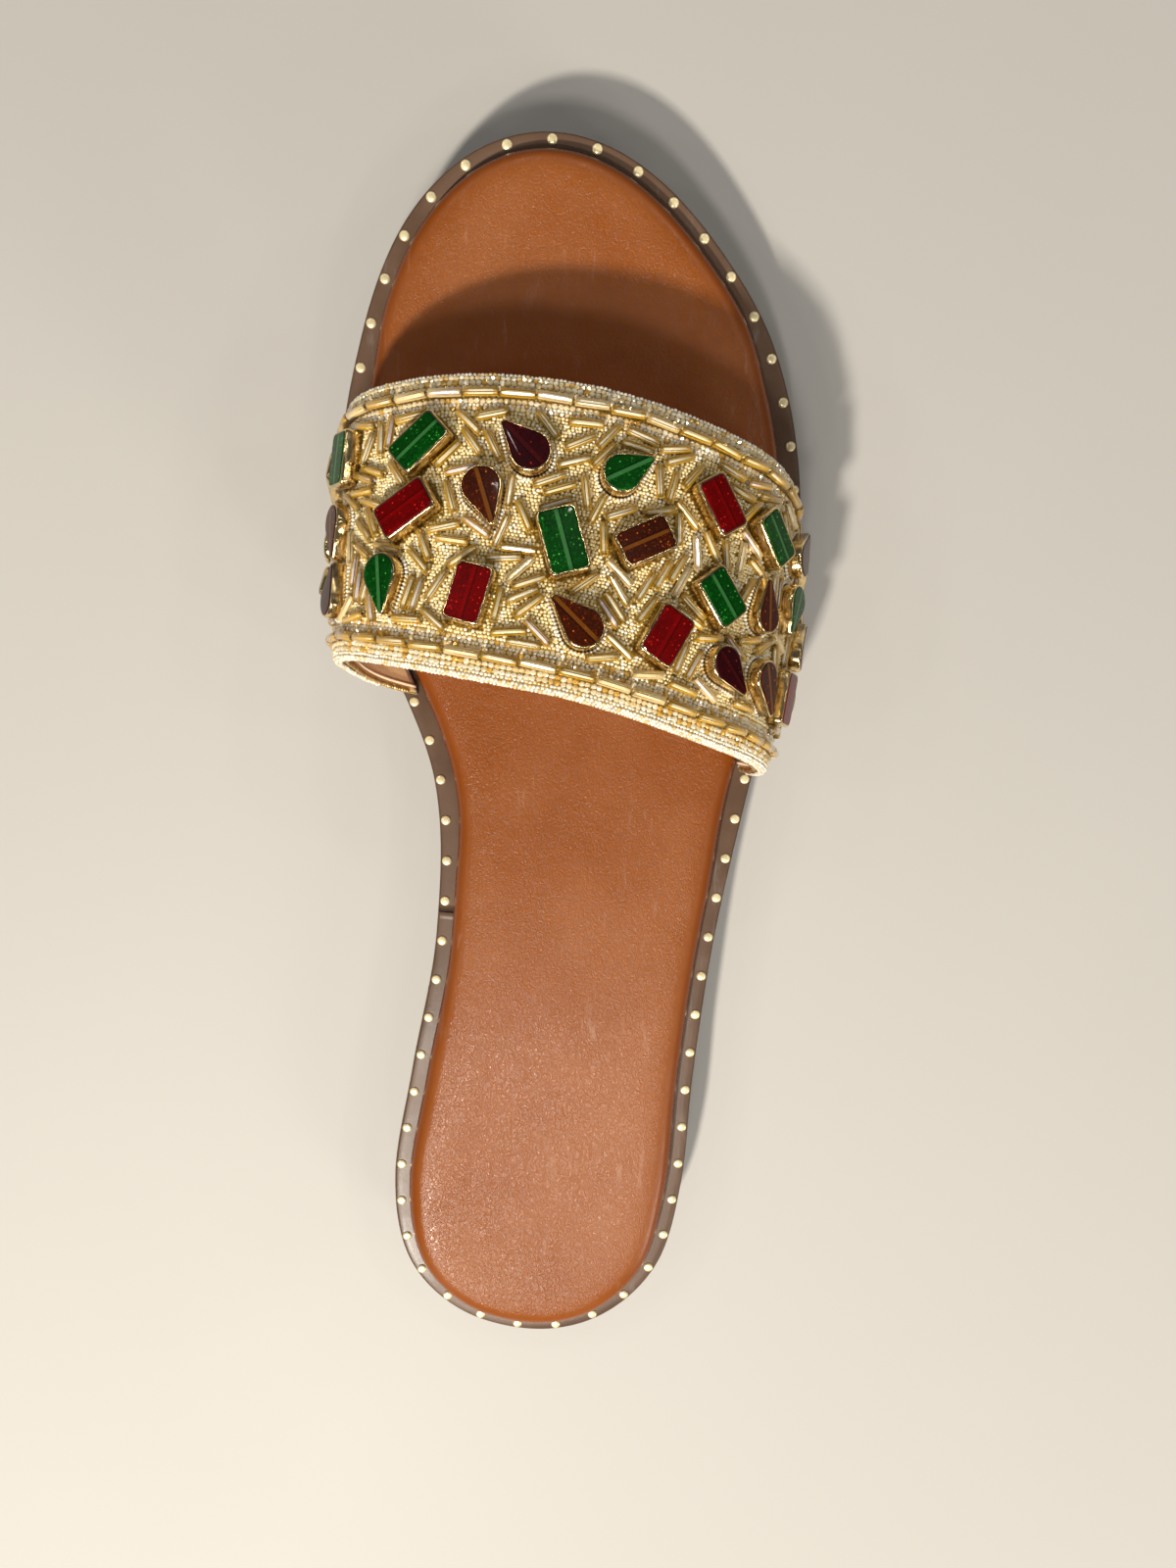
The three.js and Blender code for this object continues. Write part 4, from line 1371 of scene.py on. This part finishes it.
def cut_stone(row):
    """One stone: gold foil sides and a glass top that knows where on the stone it is."""
    name, cut, _, _, _, length, width = row
    origin, long_way, wide_way, out = stone_seat(row)
    rings = []
    for inset, up in STONE_STEPS:
        ring = stone_outline(cut, length, width, inset)
        rings.append(np.column_stack([ring, np.full(len(ring), up)]))
    count = len(rings[0])
    steps = len(STONE_STEPS)
    peak = np.array([[rings[-1][:, 0].mean(), 0.0, STONE_PEAK]])
    local = np.concatenate(rings + [peak])
    faces = [stack_quads(steps, count), tip_fan((steps - 1) * count, count, len(local) - 1)]
    points = origin + local[:, 0:1] * long_way + local[:, 1:2] * wide_way + local[:, 2:3] * out
    glass = np.repeat(np.arange(steps) >= GLASS_FROM, count)
    colour = name.split("_")[1]
    made = piece(
        f"{name}_cut", points, faces, [finishes()["foil"], finishes()[colour]], f"{colour}_glass",
        face_material=glass.astype(int), smooth=~glass, replaces=[name],
    )
    spots = made.data.uv_layers.new(name="facet")
    corners = np.empty(len(made.data.loops), np.int32)
    made.data.loops.foreach_get("vertex_index", corners)
    flat = local[corners][:, :2] / np.array([length / 2, width / 2])
    spots.data.foreach_set("uv", flat.astype(np.float32).ravel())


class SANDAL_OT_stones(bpy.types.Operator):
    """Make the glass stones in their gold foil cups, with pearls round the drops"""

    bl_idname = "sandal.stones"
    bl_label = "Stones"

    def execute(self, context):
        rng = np.random.default_rng(5)
        places, ways, outs = [], [], []
        for row in STONES:
            cut_stone(row)
            if row[1] == "table":
                continue
            pearls = stone_pearls(row, rng.random())
            _, long_way, _, out = stone_seat(row)
            places.append(pearls)
            ways.append(np.tile(long_way, (len(pearls), 1)))
            outs.append(np.tile(out, (len(pearls), 1)))
        places, ways, outs = (np.concatenate(part) for part in (places, ways, outs))
        tones = rng.random(len(places))
        radius = STONE_PEARLS["radius"]
        bead_piece("stone_pearls", round_bead(7), places, ways, outs, radius, "pearl", tones)
        return {"FINISHED"}


def tube_pieces(name, places, way, out, radius, length, rng):
    """Glass tubes and their bright linings at the given places."""
    roll = rng.uniform(0, 2 * np.pi, len(places))[:, None]
    out = out * np.cos(roll) + np.cross(out, way) * np.sin(roll)
    glass = tube_shape(radius, length, radius * TUBES["bore"])
    bead_piece(f"{name}_glass", glass, places, way, out, 1.0, "tube", rng.random(len(places)))
    rod = rod_shape(radius * TUBES["core"], length * 0.97)
    tones = rng.random(len(places))
    core = bead_piece(f"{name}_lining", rod, places, way, out, 1.0, "core", tones, smooth=False)
    # Marks every other corner of the lining for its painted dark reflection line.
    point_values(core, "corner", np.arange(len(core.data.vertices)) % 2)


def border_row(row, rng):
    """Places, ways, outward directions and sizes of one border row of pearls or crystals."""
    edge, kind, inset, lift, size, pitch = row
    reach = BORDER_REACH if lift > BESIDE["below"] else BESIDE["reach"]
    around, along = band_row(edge, inset, reach, pitch)
    across, ahead, out = band_frame(around, np.clip(along, 0, 1))
    if lift < 0:
        out = unit(ahead * (-1 if edge == "back" else 1) + out * BESIDE["lean"])
        places = band_lift(around, np.clip(along, 0, 1), np.full(len(around), lift)) + out * -inset
    else:
        places = band_face(around, along) + out * (lift - 0.3)
    places = places + rng.normal(0, 0.04, places.shape)
    turn = rng.random(len(places))[:, None] * 2 * np.pi
    way = across * np.cos(turn) + np.cross(out, across) * np.sin(turn)
    if kind == "crystal":
        out = unit(out + rng.normal(0, CRYSTAL_TILT, out.shape))
        way = unit(way - out * np.sum(way * out, axis=1, keepdims=True))
    return places, way, out, size * rng.normal(1, 0.04, len(places))


def border_tubes(row, rng):
    """The row of tube beads, end to end, in one border."""
    edge, _, inset, lift, radius, pitch = row
    around, along = band_row(edge, inset, BORDER_REACH, pitch)
    across, ahead, out = band_frame(around, np.clip(along, 0, 1))
    places = band_face(around, along) + out * lift
    lean = rng.normal(0, 0.05, len(places))[:, None]
    way = across * np.cos(lean) + ahead * np.sin(lean)
    tube_pieces(f"{edge}_border_tubes", places, way, out, radius, pitch * 0.95, rng)


class SANDAL_OT_borders(bpy.types.Operator):
    """Make the rows of pearls, crystals and tube beads along the band's two edges"""

    bl_idname = "sandal.borders"
    bl_label = "Bead borders"

    def execute(self, context):
        rng = np.random.default_rng(23)
        shapes = {"pearl": round_bead(7), "crystal": crystal_bead()}
        for edge in EDGES:
            batches = {"pearl": [], "crystal": []}
            for row in BORDER_ROWS:
                if row[0] != edge:
                    continue
                if row[1] == "tube":
                    border_tubes(row, rng)
                else:
                    batches[row[1]].append(border_row(row, rng))
            for kind, rows in batches.items():
                places, way, out, size = (np.concatenate(part) for part in zip(*rows))
                pearl = kind == "pearl"
                bead_piece(
                    f"{edge}_border_{kind}s", shapes[kind], places, way, out, size, kind,
                    rng.random(len(places)), smooth=pearl, replaces=[f"{edge}_border"] if pearl else [],
                )
        return {"FINISHED"}


def field_limits(around):
    """Along of the field's two ends, inside the border rows."""
    return beside_edge("back", FIELD["back"], around), beside_edge("front", FIELD["front"], around)


def lay_tubes(most, radius, length):
    """Places and directions for loose tube beads that keep clear of stones and each other."""
    rng = np.random.default_rng(42)
    tries = TUBES["tries"]
    around = rng.uniform(-FIELD["reach"], FIELD["reach"], tries)
    low, high = field_limits(around)
    along = low + (high - low) * rng.random(tries)
    angle = rng.uniform(0, np.pi, tries)[:, None]
    across, ahead, out = band_frame(around, along)
    way = across * np.cos(angle) + ahead * np.sin(angle)
    centre = band_face(around, along) + out * (radius * TUBES["seat"])
    steps = np.linspace(-0.5, 0.5, 7) * (length - radius)
    line = centre[:, None] + way[:, None] * steps[None, :, None]
    from_stone = outside_stones(line.reshape(-1, 3)).reshape(tries, -1).min(axis=1)
    clear = from_stone > radius + TUBES["gap"]
    reach = np.abs(np.sin(angle[:, 0])) * length / 2 / band_width(around)
    clear &= (along - reach > low - FIELD["slack"]) & (along + reach < high + FIELD["slack"])
    clear &= line[..., 2].min(axis=1) > welt_top(line[..., 1]).max(axis=1) + TUBES["over_welt"]
    kept = []
    lines = np.empty((0, len(steps), 3))
    for index in np.flatnonzero(clear):
        if len(kept) >= most:
            break
        if kept:
            near = np.linalg.norm(centre[kept] - centre[index], axis=1) < length + 2 * radius
            other = lines[near]
            if len(other):
                apart = np.linalg.norm(other[:, :, None] - line[index][None, None], axis=-1).min()
                if apart < radius * 2 - TUBES["gap"]:
                    continue
        kept.append(index)
        lines = np.concatenate([lines, line[index : index + 1]])
    return centre[kept], way[kept], out[kept], lines


class SANDAL_OT_tube_beads(bpy.types.Operator):
    """Scatter the loose tube beads between the stones"""

    bl_idname = "sandal.tube_beads"
    bl_label = "Tube beads"

    def execute(self, context):
        beads = context.scene.sandal_beads
        radius = beads.tube_radius / MM
        length = beads.tube_length / MM
        places, way, out, LAID["tubes"] = lay_tubes(beads.tube_count, radius, length)
        tube_pieces("field_tubes", places, way, out, radius, length, np.random.default_rng(43))
        return {"FINISHED"}


class SANDAL_OT_seed_beads(bpy.types.Operator):
    """Fill the band's ground with small pearly beads"""

    bl_idname = "sandal.seed_beads"
    bl_label = "Seed beads"

    def execute(self, context):
        beads = context.scene.sandal_beads
        radius = beads.seed_radius / MM
        pitch = beads.seed_pitch / MM
        rng = np.random.default_rng(77)
        fine = np.linspace(-SEEDS["reach"], SEEDS["reach"], 1200)
        low, high = field_limits(fine)
        rows = int(SEEDS["depth"] / (pitch * SEEDS["row"]))
        around, along = [], []
        for index in range(rows):
            line = low + (high - low) * ((index + 0.5) / rows)
            run = running_length(band_face(fine, line))
            count = int(run[-1] / pitch)
            at = (np.arange(count) + 0.25 + 0.5 * (index % 2)) / count * run[-1]
            at = at + rng.normal(0, 0.07, count)
            around.append(np.interp(at, run, fine))
            along.append(np.interp(at, run, line) + rng.normal(0, 0.0012, count))
        around = np.concatenate(around)
        along = np.concatenate(along)
        across, _, out = band_frame(around, along)
        lift = rng.normal(0.1, 0.05, len(around))[:, None]
        places = band_face(around, along) + out * lift
        keep = outside_stones(places) > SEEDS["from_stone"]
        axis_points = LAID["tubes"].reshape(-1, 3)
        for first in range(0, len(places), 2000):
            part = slice(first, first + 2000)
            gap = np.linalg.norm(places[part, None] - axis_points[None], axis=-1).min(axis=1)
            keep[part] &= gap > SEEDS["from_tube"]
        places, across, out = places[keep], across[keep], out[keep]
        tones = rng.random(len(places))
        size = radius * rng.normal(1, 0.06, len(places))
        half = len(places) // 2
        for name, part in (("seed_beads_inner", slice(0, half)), ("seed_beads_outer", slice(half, None))):
            bead_piece(
                name, round_bead(6), places[part], across[part], out[part], size[part], "seed", tones[part]
            )
        return {"FINISHED"}


def area_light(name, power, place, side, tint):
    """A square soft light aimed at the sandal."""
    data = bpy.data.lights.new(name, "AREA")
    data.shape = "RECTANGLE"
    data.size = side
    data.size_y = side
    data.energy = power
    data.color = tint
    made = bpy.data.objects.new(name, data)
    aim = (Vector(LIGHT_AIM) - Vector(place)).to_track_quat("-Z", "Y").to_matrix().to_4x4()
    made.matrix_world = Matrix.Translation(place) @ aim
    bpy.context.scene.collection.objects.link(made)


def lay_floor(scene):
    cells = FLOOR["cells"]
    span = np.linspace(-FLOOR["half"], FLOOR["half"], cells + 1)
    x, y = np.meshgrid(span, span)
    points = np.column_stack([x.ravel(), y.ravel(), np.zeros(x.size)])
    row, column = (a.ravel() for a in np.meshgrid(np.arange(cells), np.arange(cells), indexing="ij"))
    corner = row * (cells + 1) + column
    quads = np.stack([corner, corner + 1, corner + cells + 2, corner + cells + 1], axis=1)
    mesh = bpy.data.meshes.new("studio_floor")
    mesh.from_pydata(points.tolist(), [], quads.tolist())
    mesh.materials.append(floor_finish(tuple(scene.sandal_colours.floor)))
    floor = bpy.data.objects.new("studio_floor", mesh)
    scene.collection.objects.link(floor)


def set_surround(scene):
    """A dim even sky for the light, and a paler one behind the floor for the camera."""
    light = scene.sandal_light
    world = bpy.data.worlds.new("pale_surround")
    world.use_nodes = True
    tree = world.node_tree
    tree.nodes.clear()
    dim, pale = (
        node(tree, "ShaderNodeBackground", {"Color": SKY_TINT, "Strength": strength}).outputs[0]
        for strength in (light.sky, light.backdrop)
    )
    seen = node(tree, "ShaderNodeLightPath").outputs["Is Camera Ray"]
    both = node(tree, "ShaderNodeMixShader", {0: seen, 1: dim, 2: pale}).outputs[0]
    node(tree, "ShaderNodeOutputWorld", {"Surface": both})
    scene.world = world


def set_lights(light):
    area_light("key_light", light.key, **KEY_LIGHT)
    area_light("lining_light", light.ring * LINING_LIGHT_SHARE, **LINING_LIGHT)
    area_light("gloss_light", light.gloss, **GLOSS_LIGHT)
    count = RING_LIGHTS["count"]
    reach = RING_LIGHTS["reach"]
    for index in range(count):
        turn = 2 * math.pi * (index + 0.5) / count
        place = (reach * math.cos(turn), reach * math.sin(turn), RING_LIGHTS["height"])
        power = light.ring / count * (1 + RING_LIGHTS["lean"] * math.cos(turn))
        area_light(f"ring_light_{index + 1}", power, place, RING_LIGHTS["side"], RING_TINT)


class SANDAL_OT_stage(bpy.types.Operator):
    """Set the pale floor, soft lights and camera"""

    bl_idname = "sandal.stage"
    bl_label = "Stage"

    def execute(self, context):
        scene = context.scene
        lay_floor(scene)
        set_surround(scene)
        set_lights(scene.sandal_light)
        lens = bpy.data.cameras.new("photo_camera")
        for key, value in LENS.items():
            setattr(lens, key, value)
        camera = bpy.data.objects.new("photo_camera", lens)
        turn = Euler([math.radians(angle) for angle in CAMERA["turn"]])
        camera.matrix_world = Matrix.LocRotScale(Vector(CAMERA["place"]), turn, None)
        scene.collection.objects.link(camera)
        scene.camera = camera
        scene.view_settings.view_transform = "Standard"
        return {"FINISHED"}


class SANDAL_PT_sidebar(bpy.types.Panel):
    """Sizes, colours and makers of the sandal"""

    bl_idname = "SANDAL_PT_sidebar"
    bl_label = "Beaded slide sandal"
    bl_space_type = "VIEW_3D"
    bl_region_type = "UI"
    bl_category = "Sandal"

    def draw(self, context):
        scene = context.scene
        for owner in (scene.sandal_colours, scene.sandal_beads, scene.sandal_light):
            box = self.layout.box()
            for key in owner.__annotations__:
                box.prop(owner, key)
        column = self.layout.column(align=True)
        for maker in OPERATORS:
            column.operator(maker.bl_idname)


OPERATORS = (
    SANDAL_OT_outsole,
    SANDAL_OT_welt,
    SANDAL_OT_footbed,
    SANDAL_OT_band,
    SANDAL_OT_stones,
    SANDAL_OT_borders,
    SANDAL_OT_tube_beads,
    SANDAL_OT_seed_beads,
    SANDAL_OT_stage,
)
CLASSES = (SandalColours, SandalBeads, SandalLight, *OPERATORS, SANDAL_PT_sidebar)


def register():
    for made in CLASSES:
        bpy.utils.register_class(made)
    bpy.types.Scene.sandal_colours = PointerProperty(type=SandalColours)
    bpy.types.Scene.sandal_beads = PointerProperty(type=SandalBeads)
    bpy.types.Scene.sandal_light = PointerProperty(type=SandalLight)


def unregister():
    del bpy.types.Scene.sandal_light
    del bpy.types.Scene.sandal_beads
    del bpy.types.Scene.sandal_colours
    for made in reversed(CLASSES):
        bpy.utils.unregister_class(made)


def main():
    register()
    bpy.ops.sandal.outsole()
    bpy.ops.sandal.welt()
    bpy.ops.sandal.footbed()
    bpy.ops.sandal.band()
    bpy.ops.sandal.stones()
    bpy.ops.sandal.borders()
    bpy.ops.sandal.tube_beads()
    bpy.ops.sandal.seed_beads()
    bpy.ops.sandal.stage()


if __name__ == "__main__":
    main()
